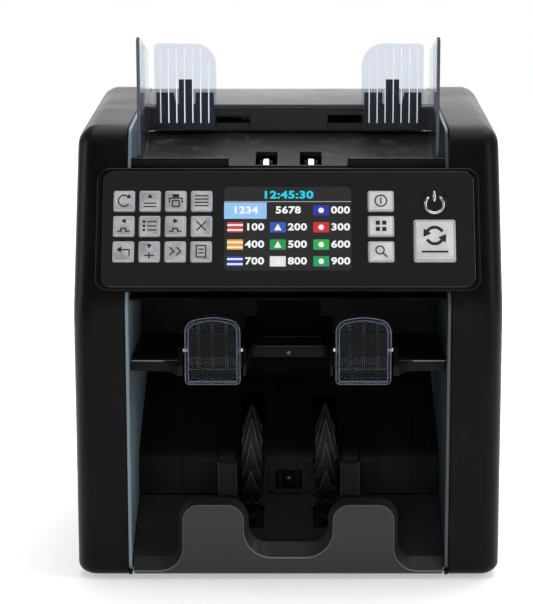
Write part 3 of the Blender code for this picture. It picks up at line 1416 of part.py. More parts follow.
def pocket_sensors():
    """A dome lens in the stacker wall's recess, and one in the front edge of the shelf."""
    places = (("stacker_sensor", STACK_WALL + 0.0045, STACK_WALL_FOOT + 0.0105),
              ("reject_sensor", SHELF_CUT_REAR, SHELF_TOP - SHELF_THICK / 2))
    for name, face, height in places:
        bpy.ops.mesh.primitive_cylinder_add(vertices=14, radius=0.0022, depth=0.0016)
        dome = move_to(bpy.context.object, machine)
        dome.name = name
        dome.rotation_euler = (math.radians(90), 0, 0)
        dome.location = (0, at(face - 0.0008 - GAP), height)
        paint(bevel(dome, 0.0006, 1), "lens")


diverter_gate()
image_sensor()
power_supply()
pocket_sensors()

for made in machine.objects:
    if made.type == "MESH":
        made.data.set_sharp_from_angle(angle=math.radians(35))
        made.data.shade_smooth()
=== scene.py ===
import math

import bmesh
import bpy
import numpy as np
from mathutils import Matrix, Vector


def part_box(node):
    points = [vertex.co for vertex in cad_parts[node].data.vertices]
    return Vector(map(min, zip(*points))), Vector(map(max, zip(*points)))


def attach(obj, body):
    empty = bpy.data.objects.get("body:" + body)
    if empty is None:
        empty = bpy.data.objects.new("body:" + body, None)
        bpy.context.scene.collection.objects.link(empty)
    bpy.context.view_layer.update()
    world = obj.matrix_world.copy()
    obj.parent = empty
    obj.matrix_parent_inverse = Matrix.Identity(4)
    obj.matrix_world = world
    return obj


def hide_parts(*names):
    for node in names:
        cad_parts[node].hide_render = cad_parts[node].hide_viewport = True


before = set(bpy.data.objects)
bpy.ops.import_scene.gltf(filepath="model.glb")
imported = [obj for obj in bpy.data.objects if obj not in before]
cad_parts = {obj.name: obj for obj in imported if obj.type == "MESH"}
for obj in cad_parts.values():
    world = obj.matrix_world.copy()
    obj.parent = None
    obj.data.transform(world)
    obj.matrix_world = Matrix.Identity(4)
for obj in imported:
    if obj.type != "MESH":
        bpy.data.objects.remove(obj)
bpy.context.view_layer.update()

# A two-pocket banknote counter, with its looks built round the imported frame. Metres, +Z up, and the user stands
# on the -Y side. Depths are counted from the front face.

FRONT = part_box("front_tray")[0][1]

# ---- Table, lamps and camera ---------------------------------------------------------------------------------
# A wide white table that glows softly further out, lit as in a product studio: a broad lamp above and behind, a
# tall one to the right, a weaker warm one to the left and a low fill from the front.


def quads(rows, columns, wrap=False):
    """Corner numbers of the quads in a rows by columns grid. wrap joins the last column to the first."""
    row = np.arange(rows - 1)[:, None]
    column = np.arange(columns if wrap else columns - 1)[None, :]
    after = (column + 1) % columns
    corners = [row * columns + column, row * columns + after, (row + 1) * columns + after,
               (row + 1) * columns + column]
    return np.stack(corners, -1).reshape(-1, 4)


def round_floor():
    """Points (x, y, 0) on circles that widen from the middle to 40 m."""
    radius = np.concatenate([[0.01], np.linspace(0.5, 6, 12), [12, 40]])
    angle = np.linspace(0, 2 * math.pi, 48, endpoint=False)
    x, y = radius[:, None] * np.cos(angle), radius[:, None] * np.sin(angle)
    return np.stack([x, y, 0 * x], -1).reshape(-1, 3), len(radius), len(angle)


floor_points, floor_rows, floor_columns = round_floor()
floor_faces = quads(floor_rows, floor_columns, wrap=True).tolist() + [list(range(floor_columns))]
floor_mesh = bpy.data.meshes.new("table")
floor_mesh.from_pydata(floor_points.tolist(), [], floor_faces)
table = bpy.data.objects.new("table", floor_mesh)
bpy.context.scene.collection.objects.link(table)
table_paint = bpy.data.materials.new("table_paint")
table_paint.use_nodes = True
table_shader = table_paint.node_tree.nodes["Principled BSDF"]
table_shader.inputs["Base Color"].default_value = (0.90, 0.90, 0.90, 1)
table_shader.inputs["Roughness"].default_value = 0.8
table_shader.inputs["Specular IOR Level"].default_value = 0.0
table_shader.inputs["Emission Strength"].default_value = 1.0
table_nodes, table_links = table_paint.node_tree.nodes, table_paint.node_tree.links
table_place = table_nodes.new("ShaderNodeTexCoord")
table_reach = table_nodes.new("ShaderNodeVectorMath")
table_reach.operation = "LENGTH"
table_glow = table_nodes.new("ShaderNodeMapRange")
for key, value in {"From Min": 1.2, "From Max": 3.4, "To Min": 0.42, "To Max": 0.80}.items():
    table_glow.inputs[key].default_value = value
table_links.new(table_place.outputs["Object"], table_reach.inputs[0])
table_links.new(table_reach.outputs["Value"], table_glow.inputs["Value"])
table_links.new(table_glow.outputs["Result"], table_shader.inputs["Emission Color"])
floor_mesh.materials.append(table_paint)

studio = bpy.data.worlds.new("studio")
studio.use_nodes = True
studio.node_tree.nodes["Background"].inputs["Color"].default_value = (1.0, 1.0, 1.0, 1)
studio.node_tree.nodes["Background"].inputs["Strength"].default_value = 0.22
bpy.context.scene.world = studio
bpy.context.scene.view_settings.view_transform = "Standard"

LAMPS = (
    ("lamp_above", (0.20, 0.55, 1.45), (0.0, 0.15, 0.2), (1.6, 1.8), 28, (1.0, 1.0, 1.0)),
    ("lamp_right", (1.3, -0.5, 0.7), (0.0, -0.05, 0.15), (0.5, 1.1), 6, (0.93, 0.96, 1.0)),
    ("lamp_left", (-1.30, 0.05, 0.5), (0.0, 0.0, 0.18), (0.3, 0.9), 5, (1.0, 0.86, 0.72)),
    ("lamp_front", (-0.1, -2.0, 0.45), (0.0, 0.0, 0.12), (0.9, 0.5), 4, (1.0, 1.0, 1.0)),
    ("lamp_behind", (0.0, 3.0, 0.95), (0.0, 0.0, 0.33), (3.6, 1.0), 22, (1.0, 1.0, 1.0)),
)
for name, place, aim, size, watts, colour in LAMPS:
    lamp = bpy.data.lights.new(name, "AREA")
    lamp.shape, lamp.size, lamp.size_y, lamp.energy, lamp.color = "RECTANGLE", *size, watts, colour
    stand = bpy.data.objects.new(name, lamp)
    bpy.context.scene.collection.objects.link(stand)
    stand.location = place
    stand.rotation_euler = (Vector(aim) - Vector(place)).to_track_quat("-Z", "Y").to_euler()

lens = bpy.data.cameras.new("camera")
camera = bpy.data.objects.new("camera", lens)
bpy.context.scene.collection.objects.link(camera)
camera.location = (0.0074, FRONT - 1.300, 0.4312)
camera.rotation_euler = (math.radians(79.5), 0, 0)
lens.sensor_width, lens.lens = 36, 116.46
lens.shift_x, lens.shift_y = -0.0538, 0.0135
bpy.context.scene.camera = camera

# ---- Side covers ---------------------------------------------------------------------------------------------
# Two large injection-moulded shells in black ABS with a fine spark-eroded grain. The wall is 2.8 mm, and its
# outer rim rolls over from the front, slope, top and back into the flat side. They snap to the side plates.


class Wire:
    """A shader node's output. Arithmetic on wires, and on a wire and a number, adds Math nodes to its finish."""

    def __init__(self, finish, socket):
        self.finish, self.socket = finish, socket

    def maths(self, operation, first, second):
        return self.finish.node("ShaderNodeMath", {"operation": operation}, {0: first, 1: second})

    def __add__(self, other):
        return self.maths("ADD", self, other)

    def __sub__(self, other):
        return self.maths("SUBTRACT", self, other)

    def __rsub__(self, other):
        return self.maths("SUBTRACT", other, self)

    def __mul__(self, other):
        return self.maths("MULTIPLY", self, other)

    __radd__, __rmul__ = __add__, __mul__


class Finish:
    """A material with one Principled shader. node() adds any other node, and feed() links a wire to the shader."""

    def __init__(self, name, colour=(0.5, 0.5, 0.5), roughness=0.5, metallic=0.0, **more):
        self.material = bpy.data.materials.new(name)
        self.material.use_nodes = True
        self.tree = self.material.node_tree
        self.shader = self.tree.nodes["Principled BSDF"]
        fixed = {"Base Color": (*colour, 1), "Roughness": roughness, "Metallic": metallic}
        fixed.update({key.replace("_", " "): value for key, value in more.items()})
        for key, value in fixed.items():
            self.shader.inputs[key].default_value = value

    def node(self, kind, settings, sockets, out=0):
        made = self.tree.nodes.new(kind)
        for key, value in settings.items():
            setattr(made, key, value)
        for key, value in sockets.items():
            if isinstance(value, Wire):
                self.tree.links.new(value.socket, made.inputs[key])
            else:
                made.inputs[key].default_value = value
        return Wire(self, made.outputs[out])

    def feed(self, **wires):
        for key, wire in wires.items():
            self.tree.links.new(wire.socket, self.shader.inputs[key.replace("_", " ")])
        return self.material

    def place(self):
        return self.node("ShaderNodeTexCoord", {}, {}, "Object")

    def noise(self, scale, detail=2.0, roughness=0.5):
        sockets = {"Vector": self.place(), "Scale": scale, "Detail": detail, "Roughness": roughness}
        return self.node("ShaderNodeTexNoise", {}, sockets, "Fac")

    def between(self, wire, low, high, start=0.0, end=1.0):
        """The wire's low to high spread over start to end, and held there outside."""
        sockets = {"Value": wire, "From Min": low, "From Max": high, "To Min": start, "To Max": end}
        return self.node("ShaderNodeMapRange", {"clamp": True}, sockets)

    def mix(self, factor, first, second):
        first, second = [c if isinstance(c, Wire) else (*c, 1) for c in (first, second)]
        return self.node("ShaderNodeMix", {"data_type": "RGBA"}, {0: factor, 6: first, 7: second}, 2)

    def bump(self, wire, strength, distance):
        sockets = {"Height": wire, "Strength": strength, "Distance": distance}
        return self.node("ShaderNodeBump", {}, sockets)


def grained_plastic(name, colour, roughness, grain=2600, dust=0.0, depth=0.00006, shine=0.12):
    """Moulded plastic: a fine pebble grain, cloudy gloss where it is handled, and a little settled dust."""
    finish = Finish(name, colour, roughness, Specular_IOR_Level=shine)
    pebbles = finish.noise(grain, 3, 0.6)
    cloud = finish.noise(24, 4, 0.6)
    specks = finish.between(finish.noise(900, 1, 0.4), 0.70, 0.76) * finish.between(finish.noise(55, 3), 0.45,
                                                                                    0.65)
    dirt = specks * dust + finish.between(cloud, 0.45, 0.8) * (dust * 0.12)
    pale = tuple(min(1.0, 0.16 + c) for c in colour)
    rough = finish.between(cloud, 0.3, 0.7, roughness - 0.04, roughness + 0.05)
    return finish.feed(Base_Color=finish.mix(dirt, colour, pale), Roughness=rough,
                       Normal=finish.bump(pebbles, 0.55, depth))


def outline(corners, radii, insets=0.0, steps=8):
    """Points round a polygon in anticlockwise order. Each edge is moved inwards by its inset, and each corner is
    an arc that touches both its edges; an outward-bending corner's arc turns the other way."""
    corners = np.array(corners, float)
    along = np.roll(corners, -1, 0) - corners
    along /= np.linalg.norm(along, axis=1)[:, None]
    after = np.stack([-along[:, 1], along[:, 0]], -1)
    before = np.roll(after, 1, 0)
    insets = np.broadcast_to(insets, len(corners))
    d0, d1 = np.roll(insets, 1), insets
    cross = before[:, 0] * after[:, 1] - before[:, 1] * after[:, 0]
    dot = (before * after).sum(1)
    shift = np.stack([d0 * after[:, 1] - d1 * before[:, 1], d1 * before[:, 0] - d0 * after[:, 0]],
                     -1) / cross[:, None]
    side = np.sign(cross)
    radius = np.maximum(np.array(radii, float) - side * (d0 + d1) / 2, 0.0003)
    centre = corners + shift + (side * radius / (1 + dot))[:, None] * (before + after)
    start = np.arctan2(-side * before[:, 1], -side * before[:, 0])
    angle = start[:, None] + np.arctan2(cross, dot)[:, None] * np.linspace(0, 1, steps + 1)
    ring = centre[:, None] + radius[:, None, None] * np.stack([np.cos(angle), np.sin(angle)], -1)
    return ring.reshape(-1, 2)


def loft(rings, caps=True):
    """A skin through closed rings of equal count, with a flat face on the first and last ring."""
    rings = np.array(rings)
    rows, columns = rings.shape[:2]
    faces = [quads(rows, columns, wrap=True)]
    if caps:
        faces += [np.arange(columns)[None, ::-1], (rows - 1) * columns + np.arange(columns)[None, :]]
    return rings.reshape(-1, 3), faces


def shade(mesh, sharp=35):
    """Smooth over small turns, with every face of five corners or more kept flat, so that rims don't tint it."""
    mesh.shade_smooth()
    mesh.set_sharp_from_angle(angle=math.radians(sharp))
    corners = np.empty(len(mesh.polygons), np.int32)
    mesh.polygons.foreach_get("loop_total", corners)
    flat = mesh.attributes.get("sharp_face") or mesh.attributes.new("sharp_face", "BOOLEAN", "FACE")
    flat.data.foreach_set("value", corners > 4)


def piece(name, parts, *finishes, body=None, node=None, slot=None, sharp=35, picks=None):
    """One object from closed parts, each given as points and blocks of faces. Its place is in its mesh."""
    whole = bmesh.new()
    for index, (points, blocks) in enumerate(parts):
        mesh = bpy.data.meshes.new(name)
        mesh.from_pydata(points.tolist(), [], [face for block in blocks for face in block.tolist()])
        part = bmesh.new()
        part.from_mesh(mesh)
        bmesh.ops.remove_doubles(part, verts=part.verts, dist=1e-7)
        bmesh.ops.dissolve_degenerate(part, edges=part.edges, dist=1e-8)
        bmesh.ops.recalc_face_normals(part, faces=part.faces)
        for face in part.faces:
            face.material_index = picks[index] if picks else 0
        part.to_mesh(mesh)
        part.free()
        whole.from_mesh(mesh)
        bpy.data.meshes.remove(mesh)
    mesh = bpy.data.meshes.new(name)
    whole.to_mesh(mesh)
    whole.free()
    for finish in finishes:
        mesh.materials.append(finish)
    shade(mesh, sharp)
    made = bpy.data.objects.new(name, mesh)
    bpy.context.scene.collection.objects.link(made)
    if body:
        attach(made, body)
    if node:
        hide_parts(*([node] if isinstance(node, str) else node))
    return made


def carve(made, cutter):
    """Takes the cutter's room out of a piece, and removes the cutter."""
    cut = made.modifiers.new("room", "BOOLEAN")
    cut.operation, cut.solver, cut.object = "DIFFERENCE", "EXACT", cutter
    bpy.context.view_layer.update()
    mesh = bpy.data.meshes.new_from_object(made.evaluated_get(bpy.context.evaluated_depsgraph_get()))
    made.modifiers.clear()
    made.data = mesh
    shade(mesh)
    bpy.data.objects.remove(cutter)


def from_side(ring, x):
    """Places depth and height points at an x."""
    return np.stack([np.full(len(ring), x), FRONT + ring[:, 0], ring[:, 1]], -1)


TILT = math.radians(24)
PANEL_FOOT = 0.204


def on_panel(points, lift):
    """Places points across and up the tilted panel, at a lift out of its plane."""
    points = np.array(points, float)
    x, rise = points[..., 0], points[..., 1]
    y = FRONT + rise * math.sin(TILT) - lift * math.cos(TILT)
    return np.stack([x, y, PANEL_FOOT + rise * math.cos(TILT) + lift * math.sin(TILT)], -1)


COVER_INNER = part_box("right_side_cover")[0][0]
COVER_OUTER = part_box("right_side_cover")[1][0]
COVER_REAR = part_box("right_side_cover")[1][1] - FRONT
COVER_PROFILE = ((0, 0.0016), (COVER_REAR, 0.0016), (COVER_REAR, 0.3268), (0.0521, 0.309), (0, 0.192))
COVER_RADII = (0.010, 0.010, 0.027, 0.023, 0.055)
COVER_WALL, RIM_WIDTH = 0.0028, 0.0135
# How far the rim rolls inwards at the bottom, rear, top, slope and front.
RIM_DEPTHS = np.array([0.0085, 0.0150, 0.0140, 0.0175, 0.0165])
shell_black = grained_plastic("shell_black", (0.0035, 0.0035, 0.0040), 0.36, dust=0.2, shine=0.08)


def cover_parts(side):
    """The wall as rings of the side profile: along the outside at no inset, round the rim on a quarter ellipse
    to the flat side, and back the same way a wall's thickness further in."""
    turn = np.linspace(0, math.pi / 2, 12)
    rim_start = COVER_OUTER - RIM_WIDTH
    steps = [(0.05, COVER_INNER), (0.0, COVER_INNER + 0.0008)]
    steps += [(1 - math.cos(t), rim_start + RIM_WIDTH * math.sin(t)) for t in turn]
    outer = [from_side(outline(COVER_PROFILE, COVER_RADII, RIM_DEPTHS * k), side * x) for k, x in steps]
    steps = [(1 - math.cos(t), rim_start + (RIM_WIDTH - COVER_WALL) * math.sin(t))
             for t in turn[::-1]] + [(0, COVER_INNER)]
    inner = [from_side(outline(COVER_PROFILE, COVER_RADII, RIM_DEPTHS * k + COVER_WALL), side * x)
             for k, x in steps]
    outer_points, outer_faces = loft(outer, caps=False)
    inner_points, inner_faces = loft(inner, caps=False)
    ring = len(outer[0])
    count = len(outer_points)
    lip = np.stack([np.arange(ring), np.roll(np.arange(ring), -1)], -1)
    mouth = np.concatenate([lip, (count + len(inner_points) - ring) + lip[:, ::-1]], 1)
    side_face = (count - ring + np.arange(ring))[None, :]
    inside_face = (count + np.arange(ring))[None, :]
    faces = [outer_faces[0], inner_faces[0] + count, mouth, side_face, inside_face]
    return np.concatenate([outer_points, inner_points]), faces


def panel_room():
    """A cutter through both covers' fronts, for the hood's walls and the keys: one rectangle at two lifts."""
    half, low, high, behind, before = 0.1262, 0.0035, 0.0818, -0.017, 0.02
    corners = ((-half, low), (half, low), (half, high), (-half, high))
    return piece("panel_room", [loft([on_panel(corners, lift) for lift in (behind, before)])])


for word, side in (("left", -1), ("right", 1)):
    cover = piece(f"{word}_cover_shell", [cover_parts(side)], shell_black, body="frame",
                  node=f"{word}_side_cover", slot="black_shell")
    carve(cover, panel_room())

# ---- Side plates ---------------------------------------------------------------------------------------------
# Steel plates, 2 mm thick, that carry every shaft and close the pockets and the hopper at their sides. They are
# powder coated in a blue grey that notes have rubbed smooth in places. The right plate's paint is a darker copy:
# painted shade, as that plate faces away from the light.


def plate_paint(name, share):
    """Powder coat: a soft cloud of two tones, both scaled by the share. A low share paints shade into the colour.
    """
    deep, pale = [tuple(share * c for c in tone) for tone in ((0.20, 0.28, 0.33), (0.26, 0.34, 0.39))]
    finish = Finish(name, pale, 0.42)
    cloud = finish.noise(18, 5, 0.65)
    peel = finish.noise(700, 2)
    colour = finish.mix(finish.between(cloud, 0.35, 0.7), deep, pale)
    rough = finish.between(cloud, 0.3, 0.7, 0.36, 0.5)
    return finish.feed(Base_Color=colour, Roughness=rough, Normal=finish.bump(peel, 0.25, 0.00006))


def finish_node(node, material):
    """Gives a CAD node its finish, in place of the plain one that it came with."""
    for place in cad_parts[node].material_slots:
        place.material = material


# Lit and shaded copies of one paint: the left plate at 0.80, and the right plate at 0.20 as painted shade.
finish_node("left_side_plate", plate_paint("plate_paint", 0.80))
finish_node("right_side_plate", plate_paint("plate_paint_painted_shade", 0.20))

# ---- Base pan, feet and mains inlet --------------------------------------------------------------------------
# A black pan closes the underside and turns up at the rear to hold the mains inlet. Four rubber feet stand
# under the side covers. The inlet's three blades are nickel-plated brass.

# deep_black is darker and duller than inner_black. It is painted shade on the parts of the pocket mouldings that
# sit in shadow: the reject pocket's ceiling, outlet blocks and stop ears, the stacker plate's apron and the sensor
# recess's back.
deep_black = grained_plastic("deep_black", (0.0022, 0.0022, 0.0025), 0.55, dust=0.1, shine=0.03)
inner_black = grained_plastic("inner_black", (0.0090, 0.0092, 0.0100), 0.40, dust=0.4, shine=0.06)
finish_node("base_pan", inner_black)
foot_rubber = grained_plastic("foot_rubber", (0.018, 0.018, 0.018), 0.78, grain=1400, depth=0.0001)
for place in ("front_left", "front_right", "rear_left", "rear_right"):
    finish_node(f"{place}_foot", foot_rubber)
inlet_black = grained_plastic("inlet_black", (0.008, 0.008, 0.008), 0.32)
finish_node("power_inlet", inlet_black)


def block(low, high, radius, steps=3):
    """A block with rounded edges: rounded-rectangle rings in x and z carried along y, drawn in at both ends
    on a quarter circle."""
    (x0, y0, z0), (x1, y1, z1) = low, high
    corners = ((x0, z0), (x1, z0), (x1, z1), (x0, z1))
    turn = np.linspace(0, math.pi / 2, steps + 1)
    draws = [(radius * (1 - math.sin(t)), y0 + radius * (1 - math.cos(t))) for t in turn]
    draws += [(radius * (1 - math.cos(t)), y1 - radius * (1 - math.sin(t))) for t in turn]
    rings = []
    for inset, y in draws:
        ring = outline(corners, (radius,) * 4, inset, steps)
        rings.append(np.stack([ring[:, 0], np.full(len(ring), y), ring[:, 1]], -1))
    return loft(rings)


def metal(name, colour, roughness, grain=(1.0, 1.0, 1.0), scale=900):
    """Bare or plated metal with fine marks, drawn out along the axis whose grain is smallest."""
    finish = Finish(name, colour, roughness, 1.0)
    stretched = finish.node("ShaderNodeMapping", {}, {"Vector": finish.place(), "Scale": grain})
    marks = finish.node("ShaderNodeTexNoise", {}, {"Vector": stretched, "Scale": scale, "Detail": 3}, "Fac")
    rough = finish.between(marks, 0.3, 0.7, roughness - 0.06, roughness + 0.08)
    return finish.feed(Roughness=rough, Normal=finish.bump(marks, 0.15, 0.00003))


nickel = metal("nickel", (0.62, 0.60, 0.55), 0.25)
inlet_low, inlet_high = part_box("power_inlet")
inlet_x, inlet_rear = (inlet_low[0] + inlet_high[0]) / 2, inlet_high[1]
BLADE_FRONT, BLADE_TIP, BLADE_HALF, BLADE_TALL = 0.0165, 0.004, 0.001, 0.002
blades = [block((inlet_x + x - BLADE_HALF, inlet_rear - BLADE_FRONT, z - BLADE_TALL),
                (inlet_x + x + BLADE_HALF, inlet_rear - BLADE_TIP, z + BLADE_TALL), 0.0004)
          for x, z in ((-0.007, 0.026), (0.0, 0.031), (0.007, 0.026))]
piece("inlet_blades", blades, nickel, body="frame", slot="steel")

# A soft strip behind the rear door's foot, upright, with a sill that the door closes on.
SEAL_HALF, SEAL_FOOT = 0.104, 0.0470
seal = [block((-SEAL_HALF, FRONT + 0.2495, SEAL_FOOT), (SEAL_HALF, FRONT + 0.2510, 0.0578), 0.0003),
        block((-SEAL_HALF, FRONT + 0.2500, SEAL_FOOT), (SEAL_HALF, FRONT + 0.2584, 0.0484), 0.0003)]
piece("door_seal", seal, inner_black, body="frame", slot="black_inner")

# ---- Front tray ----------------------------------------------------------------------------------------------
# The stacker's floor and front wall, one black ABS moulding. Two humps hold the stacked notes upright; the wide
# valley between them and the two at the sides leave room for a hand, and their lips roll over to the front.


def slab(corners, radii, low, high, put, rims=(0.0005, 0.0005), steps=6, arc=4):
    """A plate between two levels. Its outline is drawn in on a quarter circle at each rim; a rim may be one
    width, or one width for each edge."""
    turn = np.linspace(0, math.pi / 2, arc)
    first, last = (np.array(rim, float) for rim in rims)
    levels = [(first * (1 - math.sin(t)), low + first.max() * (1 - math.cos(t))) for t in turn]
    levels += [(last * (1 - math.cos(t)), high - last.max() * (1 - math.sin(t))) for t in turn]
    return loft([put(outline(corners, radii, inset, steps), level) for inset, level in levels])


def from_front(ring, depth):
    """Places x and height points at a depth."""
    return np.stack([ring[:, 0], np.full(len(ring), FRONT + depth), ring[:, 1]], -1)


def box_slab(x, z, low, high, radius=0.0008, rims=(0.0005, 0.0005)):
    """A plate that faces the user, between two x, two heights and two depths."""
    corners = ((x[0], z[0]), (x[1], z[0]), (x[1], z[1]), (x[0], z[1]))
    return slab(corners, (radius,) * 4, low, high, from_front, rims, 4)


def mirrored(half):
    """A right-hand run of corners, top to bottom, closed by its mirror image. Anticlockwise."""
    return tuple(half[::-1]) + tuple((-u, v) for u, v in half)


def cut_block(name, *boxes):
    """A cutter of one or more plain boxes."""
    return piece(name, [block(low, high, 0.0001, 1) for low, high in boxes])


POCKET_HALF = 0.1081
WHEEL_X, SLOT_HALF = 0.0265, 0.0091
HUMP_INNER, HUMP_OUTER, HUMP_TOP = 0.0277, 0.0763, 0.0565
VALLEY, SIDE_VALLEY = 0.0250, 0.0148
wall_half = [(HUMP_INNER, VALLEY), (HUMP_INNER, HUMP_TOP), (HUMP_OUTER, HUMP_TOP), (HUMP_OUTER, SIDE_VALLEY),
             (POCKET_HALF, SIDE_VALLEY), (POCKET_HALF, 0.0014)]
half_radii = [0.013, 0.0145, 0.0145, 0.0105, 0.0008, 0.002]
wall_corners, wall_radii = mirrored(wall_half), half_radii[::-1] + half_radii
HUMP_RIM, LIP_RIM, SIDE_LIP_RIM, END_RIM = 0.0034, 0.0098, 0.0092, 0.0011
half_rims = [END_RIM, SIDE_LIP_RIM, HUMP_RIM, HUMP_RIM, HUMP_RIM]
wall_rims = np.array(half_rims + [LIP_RIM] + half_rims[::-1] + [HUMP_RIM])


def tray_floor():
    """The floor's side profile carried across the pocket: it climbs towards the stacker wheels."""
    profile = ((0.0090, 0.0042), (0.0702, 0.0042), (0.0702, 0.0413), (0.0092, 0.0144))
    return slab(profile, (0.0005,) * 4, -POCKET_HALF, POCKET_HALF, from_side, (0.0003, 0.0003), 2)


def tray_wall():
    """The wall's outline drawn in by shares of the lip widths: it leaves the front face on a crisp edge, slopes
    back and up to the full outline, and turns over at the rear."""
    run = ((1.0, 0.0), (0.96, 0.00015), (0.90, 0.0007), (0.09, 0.0078), (0.03, 0.0085), (0.0, 0.0092))
    rings = [(share * wall_rims, depth) for share, depth in run]
    rings += [(0 * wall_rims + inset, depth) for inset, depth in ((0.0004, 0.0099), (0.0010, 0.010))]
    return loft([from_front(outline(wall_corners, wall_radii, inset, 9), depth) for inset, depth in rings])


floor_black = grained_plastic("floor_black", (0.030, 0.030, 0.034), 0.40, dust=0.8, shine=0.06)
tray_black = grained_plastic("tray_black", (0.020, 0.0205, 0.0225), 0.33, dust=0.3, shine=0.35)
piece("front_moulding", [tray_wall()], tray_black, body="frame", node="front_tray", slot="black_shell")
# A pale grey laid along edges: painted highlights where light catches an edge. It lines the front moulding, the
# bars, the shelf, the hopper lip and the lid.
painted_edge_highlight = grained_plastic("painted_edge_highlight", (0.20, 0.20, 0.21), 0.30, dust=0.3, shine=0.5)
# A thin band along the front moulding's crisp front edge: painted highlight.
edge_steps = ((0.985, 0.00005), (0.985, 0.0006), (0.91, 0.0010), (0.91, 0.00045), (0.95, 0.00005),
              (0.985, 0.00005))
edge_rings = [from_front(outline(wall_corners, wall_radii, share * wall_rims, 9), depth)
              for share, depth in edge_steps]
piece("tray_edge", [loft(edge_rings, caps=False)], painted_edge_highlight, body="frame", slot="black_shell")
plate_feet = []
for s in (-1, 1):
    low_x, high_x = sorted((s * 0.1083, s * 0.1108))
    plate_feet.append(block((low_x, FRONT + 0.0010, 0.0034), (high_x, FRONT + 0.0090, 0.0062), 0.0003))
piece("plate_feet", plate_feet, inner_black, body="frame", slot="black_inner")
floor_moulding = piece("floor_moulding", [tray_floor()], floor_black, body="frame", slot="black_inner")
wheel_room = [((s * WHEEL_X - SLOT_HALF, FRONT + 0.0365, -0.01), (s * WHEEL_X + SLOT_HALF, FRONT + 0.09, 0.06))
              for s in (-1, 1)]
carve(floor_moulding, cut_block("wheel_room", *wheel_room))
floor_half = SLOT_HALF + 0.0006
slot_floors = [block((s * WHEEL_X - floor_half, FRONT + 0.0355, 0.0043),
                     (s * WHEEL_X + floor_half, FRONT + 0.0775, 0.0058), 0.0003) for s in (-1, 1)]
piece("slot_floors", slot_floors, inner_black, body="frame", slot="black_inner")

# ---- Stacker plate -------------------------------------------------------------------------------------------
# The low wall behind the tray, rolled over a bright round shoulder into the ramp that the notes slide down. It
# is a black ABS moulding with fine upright ribs, and two heavier bars that carry the stack beside the wheels.

WALL_DEPTH, WALL_FOOT, SHOULDER, RAMP_END, RAMP_TOP = 0.071, 0.0418, 0.072, 0.157, 0.113
plate_profile = ((WALL_DEPTH, WALL_FOOT), (0.074, WALL_FOOT), (0.074, 0.070), (0.160, 0.1112), (0.160, 0.170),
                 (RAMP_END, 0.170), (RAMP_END, RAMP_TOP), (WALL_DEPTH, SHOULDER))
plate_radii = (0.0004, 0.0004, 0.007, 0.003, 0.0004, 0.0004, 0.003, 0.011)
RIB_PITCH, RIB_WIDTH, RIB_LIFT = 0.0128, 0.0011, 0.0007
rib_profile = ((WALL_DEPTH - RIB_LIFT, WALL_FOOT + 0.001), (0.0725, WALL_FOOT + 0.001),
               (0.0725, SHOULDER - 0.003), (RAMP_END - 0.004, RAMP_TOP - 0.0035),
               (RAMP_END - 0.004, RAMP_TOP - 0.0010), (WALL_DEPTH - RIB_LIFT, SHOULDER + RIB_LIFT))
rib_radii = (0.0003, 0.0003, 0.008, 0.0003, 0.0003, 0.0117)


def side_slab(profile, radii, middle, width, rim, steps=6):
    """A side profile's plate about a middle x."""
    return slab(profile, radii, middle - width / 2, middle + width / 2, from_side, (rim, rim), steps)


rib_places = [n * RIB_PITCH for n in (-8, -7, -6, -5, 5, 6, 7, 8)] + [-0.0064, 0.0064]
plate_parts = [slab(plate_profile, plate_radii, -POCKET_HALF, POCKET_HALF, from_side, (0.0003, 0.0003), 10)]
plate_parts += [side_slab(rib_profile, rib_radii, x, RIB_WIDTH, 0.0003, 10) for x in rib_places]
BAR_X, BAR_WIDTH, bar_front = 0.0442, 0.0140, WALL_DEPTH - 0.0050
bar_profile = ((bar_front, WALL_FOOT), (0.0725, WALL_FOOT), (0.0725, SHOULDER - 0.003), (0.094, 0.0795),
               (0.0945, 0.0850), (bar_front, SHOULDER + 0.002))
bar_radii = (0.0008, 0.0004, 0.004, 0.002, 0.0032, 0.0095)
bars = [side_slab(bar_profile, bar_radii, s * BAR_X, BAR_WIDTH, 0.0016, 8) for s in (-1, 1)]
stacker_plate = piece("stacker_plate", [plate_parts[0]], inner_black, body="frame", node="stacker_back_plate",
                      slot="black_inner")
slot_profile = ((0.05, 0.01), (0.118, 0.01), (0.1420, 0.0985), (0.1350, 0.1026), (0.1350, 0.12), (0.05, 0.12))
slot_cutter = piece("slot_room", [side_slab(slot_profile, (0.0001,) * 6, s * WHEEL_X, 2 * SLOT_HALF, 0.0001, 1)
                                  for s in (-1, 1)])
sensor_room = ((-0.0095, FRONT + 0.06, 0.0453), (0.0095, FRONT + 0.08, 0.0588))
carve(stacker_plate, slot_cutter)
carve(stacker_plate, cut_block("sensor_room", sensor_room))
piece("stacker_ribs", plate_parts[1:], inner_black, body="frame", slot="black_inner")
# A lighter black: painted light. It is laid on the bars' lower faces, round the sensor recess and on the shelf's
# step.
painted_light_black = grained_plastic("painted_light_black", (0.030, 0.030, 0.032), 0.30, dust=0.5)
BAR_LINE = 0.0007
bar_faces, bar_lines = [], []
